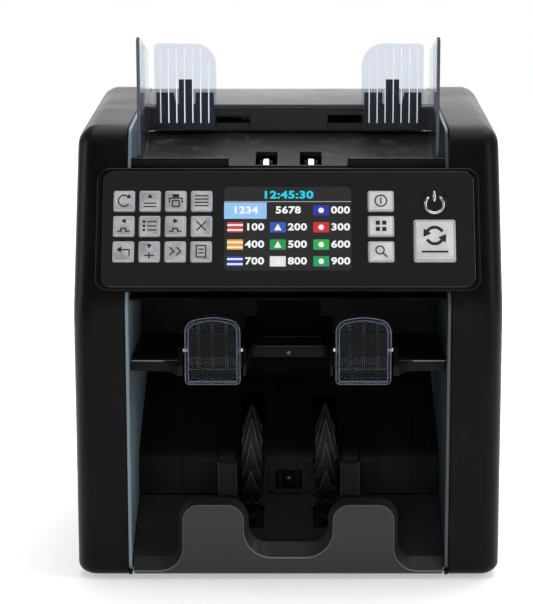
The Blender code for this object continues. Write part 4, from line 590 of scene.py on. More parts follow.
# The bars' lower faces are painted lighter as if lit, and thin pale lines along their edges are painted
# highlights.
for s in (-1, 1):
    x = s * BAR_X
    bar_faces.append(box_slab((x - 0.0056, x + 0.0056), (WALL_FOOT, 0.0655), bar_front - 0.0003,
                              bar_front + 0.0005, 0.0004, (0.0002, 0.0002)))
    for edge in (x - 0.0064, x + 0.0064):
        bar_lines.append(box_slab((edge - BAR_LINE / 2, edge + BAR_LINE / 2), (WALL_FOOT, 0.0665),
                                  bar_front - 0.0004, bar_front + 0.0008, 0.0003, (0.0002, 0.0002)))
    bar_lines.append(box_slab((x - s * 0.0076 - 0.0002, x - s * 0.0076 + 0.0002), (WALL_FOOT, 0.0640),
                              bar_front + 0.0006, bar_front + 0.0022, 0.0002, (0.0001, 0.0001)))
piece("rest_bars", bars, inner_black, body="frame", slot="black_inner")
piece("bar_faces", bar_faces, painted_light_black, body="frame", slot="black_inner")
piece("bar_edges", bar_lines, painted_edge_highlight, body="frame", slot="black_inner")
# A near-black skin over the stacker plate's upright part under the shelf: painted shade.
piece("plate_apron", [block((-POCKET_HALF, FRONT + 0.1555, 0.1135), (POCKET_HALF, FRONT + 0.1575, 0.1690),
                            0.0003)], deep_black, body="frame", slot="black_inner")


def turned(profile, centre, turns=32):
    """A profile of (x, radius) points turned about an axle along X. centre is its depth and height."""
    x, radius = np.array(profile, float).T
    angle = np.linspace(0, 2 * math.pi, turns, endpoint=False)
    y = FRONT + centre[0] + radius[:, None] * np.cos(angle)
    z = centre[1] + radius[:, None] * np.sin(angle)
    return loft(np.stack([np.broadcast_to(x[:, None], y.shape), y, z], -1))


def dome(x, depth, height, radius, out):
    """A lens: rings of a half ball, facing the user, with its flat back at the given depth."""
    tilt = np.linspace(0, math.pi / 2 - 0.05, 8)[:, None]
    angle = np.linspace(0, 2 * math.pi, 24, endpoint=False)
    rim = radius * np.cos(tilt)
    points = [x + rim * np.cos(angle), np.broadcast_to(FRONT + depth - out * np.sin(tilt), (8, 24)),
              height + rim * np.sin(angle)]
    return loft(np.stack(points, -1))


lens_clear = Finish("lens_clear", (0.03, 0.035, 0.045), 0.08, Coat_Weight=1.0)
lens_clear = lens_clear.feed(Roughness=lens_clear.between(lens_clear.noise(300), 0.3, 0.7, 0.04, 0.12))
piece("stacker_lens", [dome(0, 0.0757, 0.0523, 0.0024, 0.0020)], lens_clear, body="frame",
      node="stacker_sensor", slot="lens")
# A near-black sheet at the recess's back: painted shade inside the sensor recess.
piece("recess_back", [block((-0.0105, FRONT + 0.0758, 0.0440), (0.0105, FRONT + 0.0770, 0.0600), 0.0003)],
      deep_black, body="frame", slot="black_inner")
# Thin lighter lines round the sensor recess: painted highlights on its rim.
frame_lines = [box_slab(x, z, WALL_DEPTH - 0.0006, WALL_DEPTH + 0.0006, 0.0003, (0.0002, 0.0002))
               for x, z in (((-0.0150, -0.0143), (0.0425, 0.0640)), ((0.0143, 0.0150), (0.0425, 0.0640)),
                            ((-0.0150, -0.0098), (0.0425, 0.0431)), ((0.0098, 0.0150), (0.0425, 0.0431)),
                            ((-0.0095, 0.0095), (0.0590, 0.0596)))]
piece("recess_lines", frame_lines, painted_light_black, body="frame", slot="black_inner")

# ---- Stacker wheels ------------------------------------------------------------------------------------------
# Two moulded rubber wheels on the stacker shaft. Each blade sweeps back from the hub and tapers to a point; the
# gaps between blades catch each note and lay it on the stack.

WHEEL_CENTRE, WHEEL_RADIUS, HUB_RADIUS, BLADES = (0.082, 0.060), 0.0447, 0.016, 14
wheel_rubber = grained_plastic("wheel_rubber", (0.014, 0.014, 0.016), 0.40, grain=1500, dust=0.4, depth=0.0001)
# A paler rubber for the beads along the blades' edges: painted highlights where light catches them.
painted_highlight_rubber = grained_plastic("painted_highlight_rubber", (0.055, 0.055, 0.060), 0.30, dust=0.6, shine=0.4)


def blade_line(share):
    """The radius, the swept angle and the half width of a blade at shares from 0 at the hub to 1 at the tip: the
    width is even up to the middle and then narrows to a point."""
    radius = HUB_RADIUS - 0.002 + (WHEEL_RADIUS - HUB_RADIUS + 0.002) * share
    return radius, math.radians(74) * share ** 0.8, 0.0074 * (1 - 0.95 * np.clip((share - 0.42) / 0.58, 0, 1))


def swept(middle, across, out, sweep):
    """One skin for each blade: its section's points, given across the wheel and out from its axle, are turned
    back by the sweep."""
    made = []
    for start in np.linspace(0, 2 * math.pi, BLADES, endpoint=False):
        angle = start - sweep + 0 * across
        y = FRONT + WHEEL_CENTRE[0] - out * np.sin(angle)
        z = WHEEL_CENTRE[1] + out * np.cos(angle)
        made.append(loft(np.stack([middle + across, y, z], -1)))
    return made


def blades_of(middle):
    """Fourteen blades: a flat lens of a section is carried along each blade's line."""
    share = np.linspace(0, 1, 16)[:, None]
    radius, sweep, half = blade_line(share)
    round_turn = np.linspace(0, 2 * math.pi, 12, endpoint=False)
    across = half * np.sign(np.cos(round_turn)) * np.abs(np.cos(round_turn)) ** 0.6
    out = radius + 0.0011 * (1.35 - 0.75 * share) * np.sin(round_turn)
    return swept(middle, across, out, sweep)


def blade_edges(middle):
    """Beads along the blades' edges: a small circle is carried up one side, over the tip and down the other."""
    share = np.concatenate([np.linspace(0.42, 1, 9), np.linspace(1, 0.42, 9)])[:, None]
    side = np.repeat([-1.0, 1.0], 9)[:, None]
    radius, sweep, half = blade_line(share)
    turn = np.linspace(0, 2 * math.pi, 6, endpoint=False)
    across = side * (half - 0.0002) + 0.00030 * np.cos(turn)
    out = radius + 0.0008 + 0.00030 * np.sin(turn)
    return swept(middle, across, out, sweep)


for word, side in (("left", -1), ("right", 1)):
    x = side * WHEEL_X
    hub = [(x - 0.0104, 0.0044), (x - 0.0104, 0.0058), (x - 0.0070, 0.0060), (x - 0.0070, 0.0150),
           (x - 0.0062, 0.0158), (x + 0.0062, 0.0158), (x + 0.0070, 0.0150), (x + 0.0070, 0.0060),
           (x + 0.0104, 0.0058), (x + 0.0104, 0.0044)]
    piece(f"{word}_paddle_wheel", [turned(hub, WHEEL_CENTRE, 36)] + blades_of(x), wheel_rubber,
          body="stacker_rotor", node=f"{word}_stacker_wheel", slot="wheel_rubber")
    # The blade edge beads, in the paler rubber, are painted highlights.
    piece(f"{word}_blade_edges", blade_edges(x), painted_highlight_rubber, body="stacker_rotor", slot="wheel_rubber")

# ---- Reject pocket -------------------------------------------------------------------------------------------
# The upper pocket is one black moulding: a shelf with a deep cut-out in the middle for the fingers, ears that
# reach forward to hold the note stops, a back wall with the note outlet, and the pocket's ceiling. The ceiling,
# the outlet's blocks and the ears are in a darker, duller black than the shelf: painted shade.

SHELF_TOP, SHELF_FOOT, STOP_X, STOP_HALF, NOTCH = 0.153, 0.1455, 0.0510, 0.019, 0.0013
STOP_PIVOT = (0.0005, 0.1627)
notch_inner, notch_outer = STOP_X - STOP_HALF - NOTCH, STOP_X + STOP_HALF + NOTCH


def from_above(ring, height):
    """Places x and depth points at a height."""
    return np.stack([ring[:, 0], FRONT + ring[:, 1], np.full(len(ring), height)], -1)


shelf_half = [(0.0268, 0.058), (notch_inner - 0.0022, 0.0125), (notch_inner - 0.0022, -0.0048),
              (notch_inner, -0.0048), (notch_inner, 0.026), (notch_outer, 0.026), (notch_outer, -0.0048),
              (notch_outer + 0.0036, -0.0045), (notch_outer + 0.0098, 0.0115), (POCKET_HALF, 0.0120),
              (POCKET_HALF, 0.1118)]
shelf_radii = [0.0055, 0.006, 0.0006, 0.0004, 0.0006, 0.0006, 0.0004, 0.0012, 0.012, 0.0005, 0.0005]
shelf_corners = tuple((-u, v) for u, v in shelf_half[::-1]) + tuple(shelf_half)
shelf = slab(shelf_corners, shelf_radii[::-1] + shelf_radii, SHELF_FOOT, SHELF_TOP, from_above,
             (0.0004, 0.0005), 8)
wall_parts = [box_slab((-POCKET_HALF, POCKET_HALF), (0.151, 0.1965), 0.109, 0.112)]
ceiling = block((-POCKET_HALF, FRONT + 0.008, 0.1955), (POCKET_HALF, FRONT + 0.112, 0.1977), 0.0005)
block_parts = [box_slab((-0.032, 0.032), (0.1525, 0.1655), 0.1060, 0.110, 0.002),
               box_slab((-0.023, 0.023), (0.1525, 0.1785), 0.1052, 0.110, 0.002)]
EAR_TOP = 0.1661
ear_parts = []
for side in (-1, 1):
    for edge, thick in ((-side, 0.0020), (side, 0.0034)):
        face = side * STOP_X + edge * (STOP_HALF + NOTCH)
        profile = ((-0.0047, 0.1510), (0.0100, 0.1510), (0.0035, EAR_TOP), (-0.0030, EAR_TOP))
        ear_parts.append(side_slab(profile, (0.0005, 0.0005, 0.0024, 0.0024), face + edge * thick / 2, thick,
                                   0.0004))
piece("upper_shelf", [shelf], inner_black, body="frame", node="reject_pocket", slot="black_inner")
upper_wall = piece("upper_wall", wall_parts, inner_black, body="frame", slot="black_inner")
carve(upper_wall, piece("outlet_room", [box_slab((-0.095, 0.095), (0.183, 0.191), 0.10, 0.12, 0.002)]))
# The ceiling and the outlet's blocks are in the darker black: painted shade under the pocket's roof.
piece("upper_details", [ceiling] + block_parts, deep_black, body="frame", slot="black_inner")
# The ears are in the darker black too: painted shade.
ears = piece("stop_ears", ear_parts, deep_black, body="frame", slot="black_inner")
carve(ears, piece("pin_room", [turned([(s * STOP_X - 0.0235, 0.0020), (s * STOP_X + 0.0235, 0.0020)],
                                      STOP_PIVOT, 16) for s in (-1, 1)]))
# A lighter pad in the shelf's cut-out, with thin raised lines at its front and rear edges: painted light on the
# step and painted highlights on its edges.
step_corners = ((-0.0262, 0.0590), (0.0262, 0.0590), (0.0235, 0.0940), (-0.0235, 0.0940))
edge_corners = ((-0.0262, 0.0583), (0.0262, 0.0583), (0.0262, 0.0592), (-0.0262, 0.0592))
rear_corners = ((-0.0230, 0.0936), (0.0230, 0.0936), (0.0230, 0.0946), (-0.0230, 0.0946))
step_parts = [slab(step_corners, (0.0004, 0.0004, 0.005, 0.005), SHELF_TOP - 0.0004, SHELF_TOP + 0.0003,
                   from_above, (0.0002, 0.0002)), slab(edge_corners, (0.0003,) * 4, SHELF_TOP - 0.0004,
                                                       SHELF_TOP + 0.0009, from_above, (0.0002, 0.0003), 3),
              slab(rear_corners, (0.0003,) * 4, SHELF_TOP - 0.0004, SHELF_TOP + 0.0008, from_above,
                   (0.0002, 0.0003), 3)]
# Thin pale lines along the shelf's front edges at both sides: painted highlights.
shelf_line = [slab(((s * 0.0760, 0.0109), (s * 0.1078, 0.0116), (s * 0.1078, 0.0124),
                    (s * 0.0760, 0.0117))[::s], (0.0001,) * 4, SHELF_TOP - 0.0006, SHELF_TOP + 0.0002,
                   from_above, (0.0001, 0.0001), 1) for s in (-1, 1)]
piece("shelf_edge_lines", shelf_line, painted_edge_highlight, body="frame", slot="black_inner")
piece("cutout_step", step_parts, painted_light_black, body="frame", slot="black_inner")
piece("shelf_lens", [dome(0, 0.058, 0.1492, 0.0022, 0.0016)], lens_clear, body="frame", node="reject_sensor",
      slot="lens")

# ---- Note stops ----------------------------------------------------------------------------------------------
# Two clear polycarbonate stops, each an arched tray with a raised rim, three upright ribs and a lower lip. They
# turn on bright steel pins in the shelf's ears and hang in front of its notches. Handling has scratched them.


def clear_plastic(name, tint, roughness, marks, through=1.0, bend=1.46):
    """Clear moulding: it bends light, and fine scratches and dust roughen it in patches."""
    finish = Finish(name, tint, roughness, Transmission_Weight=through, IOR=bend)
    streaks = finish.node("ShaderNodeMapping", {}, {"Vector": finish.place(), "Scale": (1.0, 1.0, 0.12)})
    streaks = finish.node("ShaderNodeTexNoise", {}, {"Vector": streaks, "Scale": 700, "Detail": 2}, "Fac")
    scratches = finish.between(streaks, 0.62, 0.70) * finish.between(finish.noise(40, 3), 0.48, 0.62)
    milky = tuple(0.5 + 0.5 * c for c in tint)
    rough = finish.between(scratches, 0, 1, roughness, roughness + marks)
    return finish.feed(Roughness=rough, Base_Color=finish.mix(scratches, tint, milky))


STOP_FOOT, STOP_TOP, STOP_FRONT = 0.140, 0.187, -0.008
stop_clear = clear_plastic("stop_clear", (0.82, 0.87, 0.95), 0.04, 0.10, 0.995, 1.12)
pin_steel = metal("pin_steel", (0.75, 0.75, 0.76), 0.22, (0.05, 1.0, 1.0))


def arch(x, half, low, high, rise):
    """A stop's outline: straight sides, and a top that rises to a blunt peak. Anticlockwise."""
    return ((x - half, low), (x + half, low), (x + half, high), (x, high + rise), (x - half, high))


def arch_frame(x, section):
    """A frame round a stop, open in the middle: the arch drawn in by each inset of a section, at its depth."""
    corners = arch(x, STOP_HALF, STOP_FOOT, STOP_TOP - 0.003, 0.0035)
    radii = (0.0035, 0.0035, 0.0095, 0.036, 0.0095)
    return loft([from_front(outline(corners, radii, inset, 8), depth) for inset, depth in section], caps=False)


def stop_rim(x):
    """The raised rim: its section goes from front to back and in again, where the inner edge is the outer one
    drawn in by the rim's width."""
    width = 0.0019
    return arch_frame(x, [(0.0009, STOP_FRONT), (0.0003, STOP_FRONT + 0.0003), (0.0, STOP_FRONT + 0.0009),
                          (0.0, 0.0026), (0.0003, 0.0030), (width - 0.0003, 0.0030), (width, 0.0026),
                          (width, STOP_FRONT + 0.0009), (width - 0.0003, STOP_FRONT + 0.0003),
                          (0.0009, STOP_FRONT)])


def stop_line(x, inset):
    """A thin frame at an inset from the arch, with a section 0.4 mm wide and 0.6 mm deep."""
    near, far = STOP_FRONT + 0.0002, STOP_FRONT + 0.0008
    return arch_frame(x, ((inset, near), (inset, far), (inset + 0.0004, far), (inset + 0.0004, near),
                          (inset, near)))


STOP_RIBS = (-0.0095, 0.0, 0.0095)
# An opaque blue-grey for the stops' thin lines along rims and ribs: painted shade, the dark look that light gives
# a clear moulding's edges.
edge_clear = Finish("edge_clear", (0.13, 0.16, 0.23), 0.25)
edge_clear = edge_clear.feed(Roughness=edge_clear.between(edge_clear.noise(500), 0.3, 0.7, 0.15, 0.35))
for word, side in (("left", -1), ("right", 1)):
    x = side * STOP_X
    plate_corners = arch(x, STOP_HALF - 0.0010, STOP_FOOT + 0.0012, STOP_TOP - 0.0042, 0.0033)
    stop_parts = [stop_rim(x), slab(plate_corners, (0.0025, 0.0025, 0.0085, 0.035, 0.0085), STOP_FRONT + 0.0006,
                                    STOP_FRONT + 0.0024, from_front, (0.0003, 0.0003), 8),
                  box_slab((x - STOP_HALF + 0.001, x + STOP_HALF - 0.001),
                           (STOP_FOOT + 0.0100, STOP_FOOT + 0.0118), STOP_FRONT + 0.0010, 0.0024, 0.0004,
                           (0.0003, 0.0003))]
    stop_parts += [box_slab((x + r - 0.0005, x + r + 0.0005), (STOP_FOOT + 0.0110, STOP_TOP - 0.0035),
                            STOP_FRONT + 0.0020, STOP_FRONT + 0.0042, 0.0003, (0.0002, 0.0003))
                   for r in STOP_RIBS]
    # The lines round the rim and beside the ribs and the lip are painted shade on the clear stop.
    marks = [stop_line(x, 0.0003), stop_line(x, 0.0024)]
    marks += [box_slab((x + r + e - 0.00018, x + r + e + 0.00018), (STOP_FOOT + 0.0120, STOP_TOP - 0.0050),
                       STOP_FRONT + 0.0026, STOP_FRONT + 0.0030, 0.00015, (0.0001, 0.0001)) for r in STOP_RIBS
              for e in (-0.0007, 0.0007)]
    marks += [box_slab((x - 0.0165, x + 0.0165), (STOP_FOOT + z, STOP_FOOT + z + 0.0004), STOP_FRONT + 0.0026,
                       STOP_FRONT + 0.0030, 0.00015, (0.0001, 0.0001)) for z in (0.0104, 0.0045)]
    piece(f"{word}_stop_edges", marks, edge_clear, body=f"{word}_stop", slot="clear_plastic")
    pins = [turned([(x + e * 0.0178, 0.0015), (x + e * 0.0216, 0.0015), (x + e * 0.0221, 0.0011)], STOP_PIVOT,
                   20) for e in (-1, 1)]
    piece(f"{word}_clear_stop", stop_parts, stop_clear, body=f"{word}_stop", node=f"{word}_note_stop",
          slot="clear_plastic")
    piece(f"{word}_stop_pins", pins, pin_steel, body=f"{word}_stop", slot="steel")

# ---- Feed table ----------------------------------------------------------------------------------------------
# The sloping table that carries the notes to be counted, black ABS gone cloudy with note dust. Two slots let the
# pick-up rollers through, and its front lip steps down in the middle so that fingers can reach the last note.

TABLE_FALL = math.tan(math.radians(14))
HOPPER_REAR, LIP_FRONT, LIP_REAR = 0.150, 0.0425, 0.0475


def dusty():
    """The table's finish: as the shell, with pale smudges that rubbing notes leave."""
    finish = Finish("table_black", (0.010, 0.010, 0.011), 0.55, Specular_IOR_Level=0.10)
    smudges = finish.between(finish.noise(85, 6, 0.72), 0.52, 0.74) * finish.between(finish.noise(22, 3), 0.40,
                                                                                     0.62)
    colour = finish.mix(smudges * 0.75, (0.010, 0.010, 0.011), (0.16, 0.16, 0.165))
    rough = finish.between(smudges, 0, 1, 0.50, 0.70)
    return finish.feed(Base_Color=colour, Roughness=rough, Normal=finish.bump(finish.noise(2200, 3, 0.6), 0.5,
                                                                              0.00006))


def table_height(depth):
    """The table's height at a depth: it falls towards the front at an even slope."""
    return 0.2965 - (HOPPER_REAR - depth) * TABLE_FALL


table_profile = ((LIP_REAR - 0.0010, 0.2796), (0.0512, table_height(0.054) - 0.003),
                 (0.153, table_height(0.153) - 0.003), (0.153, table_height(0.153)),
                 (0.054, table_height(0.054)), (LIP_REAR - 0.0010, 0.2820))
LIP_STEP, LIP_FOOT = 0.041, 0.2796
lip_profile, low_lip_profile = [((LIP_FRONT, LIP_FOOT), (LIP_REAR, LIP_FOOT), (LIP_REAR, top), (LIP_FRONT, top))
                                for top in (0.289, 0.2838)]
feed_table = piece("feed_table", [side_slab(table_profile, (0.0004,) * 4 + (0.004, 0.0004), 0, 2 * POCKET_HALF,
                                            0.0003)], dusty(), body="frame", node="hopper_tray",
                   slot="black_shell")
roller_room = [((s * 0.0158 - 0.0078, FRONT + 0.074, 0.25), (s * 0.0158 + 0.0078, FRONT + 0.1095, 0.31))
               for s in (-1, 1)]
carve(feed_table, cut_block("roller_room", *roller_room))
lips = [slab(low_lip_profile, (0.0004, 0.0004, 0.0010, 0.0012), -LIP_STEP - 0.001, LIP_STEP + 0.001, from_side)]
lips += [slab(lip_profile, (0.0004, 0.0004, 0.0010, 0.0014), *sorted((s * LIP_STEP, s * POCKET_HALF)),
              from_side, (0.0012, 0.0012)) for s in (-1, 1)]
piece("hopper_lip", lips, shell_black, body="frame", slot="black_shell")
# Thin pale lines along the top front edge of the lip's raised sides: painted highlights.
lip_lines = [box_slab(sorted((s * (LIP_STEP + 0.0010), s * (POCKET_HALF - 0.0010))), (0.2882, 0.2886),
                      LIP_FRONT - 0.0001, LIP_FRONT + 0.0006, 0.0001, (0.0001, 0.0001)) for s in (-1, 1)]
piece("lip_lines", lip_lines, painted_edge_highlight, body="frame", slot="black_shell")

# ---- Rollers and shafts --------------------------------------------------------------------------------------
# Ground steel shafts. The pick-up rollers are polished steel with a shallow groove and show in the table's
# slots; the feed rollers below them are the same. The pulleys outside the left plate are black moulded nylon.

ground_steel = metal("ground_steel", (0.66, 0.66, 0.67), 0.24, (1.0, 0.04, 0.04), 500)
bright_steel = metal("bright_steel", (0.62, 0.62, 0.64), 0.16, (1.0, 0.05, 0.05), 500)
pulley_black = grained_plastic("pulley_black", (0.022, 0.022, 0.023), 0.38, grain=1500)
PULLEY_X, PULLEY_WIDTH = -0.127, 0.009


def roller(x, width, radius):
    """Half-round rims at both ends of a plain cylinder."""
    half, rim = width / 2, 0.0006
    turn = np.linspace(0, math.pi / 2, 5)
    end = [(half - rim + rim * math.sin(t), radius - rim + rim * math.cos(t)) for t in turn]
    right = [(x + u, r) for u, r in end] + [(x + half, 0.0038)]
    left = [(x - u, r) for u, r in end] + [(x - half, 0.0038)]
    return left[::-1] + right


def rollers(centre, radius, width, places, name, node, body):
    """A shaft with a roller at each place, and a dark collar on both sides of each roller."""
    wheels = [turned(roller(x, width, radius), centre, 48) for x in places]
    collars = [turned(roller(x + e * (width / 2 + 0.0013), 0.0025, radius - 0.0012), centre, 36) for x in places
               for e in (-1, 1)]
    shaft = [(-0.1284, 0.0034), (-0.1280, 0.0040), (0.1141, 0.0040), (0.1145, 0.0034)]
    piece(name, [turned(shaft, centre, 28)] + wheels + collars, ground_steel, bright_steel, deep_black,
          body=body, node=node, slot="rollers", picks=[0] + [1] * len(wheels) + [2] * len(collars))


def pulley_ring(centre, radius):
    """Two flanges with rounded rims, and the belt's seat between them."""
    seat, lip = radius + 0.0018, 0.0011
    return turned([(PULLEY_X, 0.0045), (PULLEY_X, seat - 0.0003), (PULLEY_X + 0.0003, seat),
                   (PULLEY_X + lip, seat), (PULLEY_X + lip, radius), (PULLEY_X + PULLEY_WIDTH - lip, radius),
                   (PULLEY_X + PULLEY_WIDTH - lip, seat), (PULLEY_X + PULLEY_WIDTH - 0.0003, seat),
                   (PULLEY_X + PULLEY_WIDTH, seat - 0.0003), (PULLEY_X + PULLEY_WIDTH, 0.0045)], centre, 40)


PICKUP, FEED = (0.092, 0.2705), (0.066, 0.2475)
rollers(PICKUP, 0.0130, 0.0044, (-0.016, 0.016), "pickup_rollers", "pickup_shaft", "pickup_rotor")
rollers(FEED, 0.0125, 0.012, (-0.060, -0.020, 0.020, 0.060), "feed_rollers", "feed_shaft", "feed_rotor")
piece("pickup_pulley", [pulley_ring(PICKUP, 0.010)], pulley_black, body="pickup_rotor", slot="pulley_plastic")
piece("feed_pulley", [pulley_ring(FEED, 0.012)], pulley_black, body="feed_rotor", slot="pulley_plastic")
finish_node("stacker_shaft", ground_steel)
finish_node("guide_rail", ground_steel)
for node in ("stacker_pulley", "motor_pulley"):
    finish_node(node, pulley_black)
belt_rubber = grained_plastic("belt_rubber", (0.014, 0.014, 0.014), 0.7, grain=900)
finish_node("drive_belt", belt_rubber)
case_steel = metal("case_steel", (0.55, 0.56, 0.57), 0.34)
finish_node("drive_motor", case_steel)
finish_node("power_supply", case_steel)
for node in ("diverter_gate", "image_sensor"):
    finish_node(node, inner_black)

# ---- Top cover -----------------------------------------------------------------------------------------------
# The lid behind the hopper, in the shell's black ABS. Its front face is the notes' backrest, with a long slot at
# each side for the guide carriers' arms and a raised pad between; its rear rolls down to meet the door.

TOP_INSET, LID_WALL, LID_FRONT_TOP, LID_FOOT, LID_REAR_FOOT = 0.0012, 0.003, 0.3172, 0.2975, 0.237
lid_rear = COVER_REAR - TOP_INSET
lid_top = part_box("top_cover")[1][2]
lid_profile = ((HOPPER_REAR, LID_FOOT), (HOPPER_REAR + LID_WALL, LID_FOOT),
               (HOPPER_REAR + LID_WALL, LID_FRONT_TOP - LID_WALL), (lid_rear - LID_WALL,
                                                                    lid_top - LID_WALL + 0.0006),
               (lid_rear - LID_WALL, LID_REAR_FOOT), (lid_rear, LID_REAR_FOOT), (lid_rear, lid_top + 0.0006),
               (HOPPER_REAR, LID_FRONT_TOP))
lid_radii = (0.0004, 0.0004, 0.001, 0.021, 0.0006, 0.0006, 0.024, 0.0028)
lid_black = grained_plastic("lid_black", (0.030, 0.031, 0.035), 0.36, dust=0.3)
lid = piece("lid", [side_slab(lid_profile, lid_radii, 0, 2 * POCKET_HALF, 0.0004, 10)], lid_black, body="frame",
            node="top_cover", slot="black_shell")
arm_slots = [box_slab(sorted((s * 0.029, s * 0.100)), (0.3036, 0.3096), 0.14, 0.16, 0.0004) for s in (-1, 1)]
carve(lid, piece("arm_room", arm_slots))
lid_details = [box_slab((-0.0286, 0.0286), (0.2982, 0.3132), 0.1488, 0.1505, 0.0006, (0.0005, 0.0003))]
lid_details += [box_slab(sorted((s * 0.0296, s * 0.100)), (0.2986, 0.3037), 0.1494, 0.1503, 0.0005,
                         (0.0004, 0.0002)) for s in (-1, 1)]
# A thin pale line across the lid's front, just below its top edge: painted highlight.
piece("lid_seam", [box_slab((-0.1045, 0.1045), (0.3148, 0.3153), 0.1494, 0.1503, 0.0002, (0.0001, 0.0001))],
      painted_edge_highlight, body="frame", slot="black_shell")
piece("backrest_pads", lid_details, lid_black, body="frame", slot="black_shell")

# ---- Note guides ---------------------------------------------------------------------------------------------
# Clear bluish acrylic guides. Each has a tall side plate, and a rear rest with white upright lines that slides
# in and out on a black carrier. A rack on each carrier meshes with one pinion, so that they move together.

guide_clear = clear_plastic("guide_clear", (0.70, 0.74, 0.81), 0.04, 0.20, 0.985, 1.12)
# The rests' printed white lines also glow: painted light that keeps them white where the rest lies in shade.
line_white = Finish("line_white", (0.85, 0.87, 0.92), 0.4, Emission_Color=(0.80, 0.85, 0.95, 1),
                    Emission_Strength=0.55)
line_white = line_white.feed(Roughness=line_white.between(line_white.noise(400), 0.3, 0.7, 0.35, 0.5))
# An opaque dark navy for the guide plates' front edges: painted shade, the dark look that light gives a clear
# plate's edge.
edge_navy = grained_plastic("edge_navy", (0.030, 0.036, 0.060), 0.25, shine=0.5)
carrier_grey = grained_plastic("carrier_grey", (0.022, 0.027, 0.040), 0.40, dust=0.3, shine=0.12)
GUIDE_X, GUIDE_THICK, GUIDE_REST = 0.1045, 0.002, 0.144
guide_profile = ((0.054, table_height(0.054) + 0.003), (0.140, table_height(0.140) + 0.003), (0.140, 0.3565),
                 (0.054, 0.3715))
for word, side in (("left", -1), ("right", 1)):
    inner, outer = side * 0.0535, side * (GUIDE_X - 0.0055)
    low_x, high_x = sorted((inner, outer))
    rest_corners = ((low_x, 0.2985), (high_x, 0.2985), (high_x, 0.3625), (low_x, 0.3625))
    rest_radii = (0.003, 0.004, 0.016, 0.003) if side < 0 else (0.004, 0.003, 0.003, 0.016)
    low_web, high_web = sorted((side * GUIDE_X, outer - side * 0.004))
    guide_parts = [side_slab(guide_profile, (0.001, 0.002, 0.012, 0.003), side * (GUIDE_X - GUIDE_THICK / 2),
                             GUIDE_THICK, 0.0004, 8), slab(rest_corners, rest_radii, GUIDE_REST,
                                                           GUIDE_REST + GUIDE_THICK, from_front,
                                                           (0.0004, 0.0004), 8),
                   box_slab((low_web, high_web), (table_height(0.139) + 0.0045, 0.317), GUIDE_REST - 0.005,
                            GUIDE_REST + GUIDE_THICK - 0.0002, 0.0008)]
    piece(f"{word}_clear_guide", guide_parts, guide_clear, body=f"{word}_guide", node=f"{word}_note_guide",
          slot="clear_plastic")
    lines = []
    for n in range(7):
        x = outer - side * (0.0045 + n * 0.0059)
        top = 0.3585 - (0.009 if n == 6 else 0.0)
        lines.append(box_slab((x - 0.00035, x + 0.00035), (0.3042, top), GUIDE_REST - 0.0006,
                              GUIDE_REST + 0.0001, 0.0002, (0.0002, 0.0001)))
    # A dark strip along the side plate's front edge: painted shade.
    edge_profile = ((0.0538, table_height(0.054) + 0.004), (0.0548, table_height(0.054) + 0.004),
                    (0.0548, 0.3695), (0.0538, 0.3695))
    edge_bar = side_slab(edge_profile, (0.0002,) * 4, side * (GUIDE_X - GUIDE_THICK / 2), GUIDE_THICK + 0.0003,
                         0.0002, 1)
    piece(f"{word}_guide_edge", [edge_bar], edge_navy, body=f"{word}_guide", slot="clear_plastic")
    piece(f"{word}_guide_lines", lines, line_white, body=f"{word}_guide", slot="clear_plastic")
    finish_node(f"{word}_guide_carrier", carrier_grey)
pinion_white = grained_plastic("pinion_white", (0.62, 0.61, 0.58), 0.4, grain=1500)
finish_node("guide_pinion", pinion_white)

# ---- Control hood and face -----------------------------------------------------------------------------------
# A black ABS frame clips over the sloping front. Inside its rim a groove runs round the glossy face plate, an
# acrylic sheet printed black from behind whose cut edge catches the light.

HOOD_HALF, HOOD_LOW, HOOD_HIGH, HOOD_FLANGE = 0.131, -0.0005, 0.0868, 0.0047
FACE_HALF, FACE_LOW, FACE_HIGH, FACE_BACK, FACE_FRONT = 0.1272, 0.00195, 0.08435, -0.0016, -0.0003


def panel_slab(x, rise, low, high, radius, rims=(0.0003, 0.0003), steps=6):
    """A plate in the panel's plane, between two x, two rises and two lifts."""
    corners = ((x[0], rise[0]), (x[1], rise[0]), (x[1], rise[1]), (x[0], rise[1]))
    return slab(corners, (radius,) * 4, low, high, on_panel, rims, steps)


hood = piece("hood_frame", [panel_slab((-HOOD_HALF, HOOD_HALF), (HOOD_LOW, HOOD_HIGH), -HOOD_FLANGE, 0, 0.009,
                                       (0.0004, 0.0016), 10)], shell_black, body="frame", node="control_hood",
             slot="black_shell")
carve(hood, piece("face_room", [panel_slab((-0.1278, 0.1278), (0.0013, 0.0850), -0.0020, 0.01, 0.0076,
                                           (0.0001, 0.0001), 8)]))
carve(hood, piece("key_room", [panel_slab((-0.1240, 0.1240), (0.0060, 0.0800), -0.01, -0.0015, 0.004,
                                          (0.0001, 0.0001), 8)]))
hood_walls = piece("hood_walls", [panel_slab((-0.1256, 0.1256), (0.0041, 0.0812), -0.016, -0.0040, 0.003)],
                   inner_black, body="frame", slot="black_shell")
carve(hood_walls, piece("wall_room", [panel_slab((-0.1241, 0.1241), (0.0056, 0.0797), -0.02, 0.01, 0.002)]))
face_gloss = Finish("face_gloss", (0.0045, 0.0045, 0.0055), 0.16, Coat_Weight=0.4, Coat_Roughness=0.08)
smears = face_gloss.noise(30, 5, 0.62)
face_gloss = face_gloss.feed(Roughness=face_gloss.between(smears, 0.35, 0.75, 0.13, 0.26))

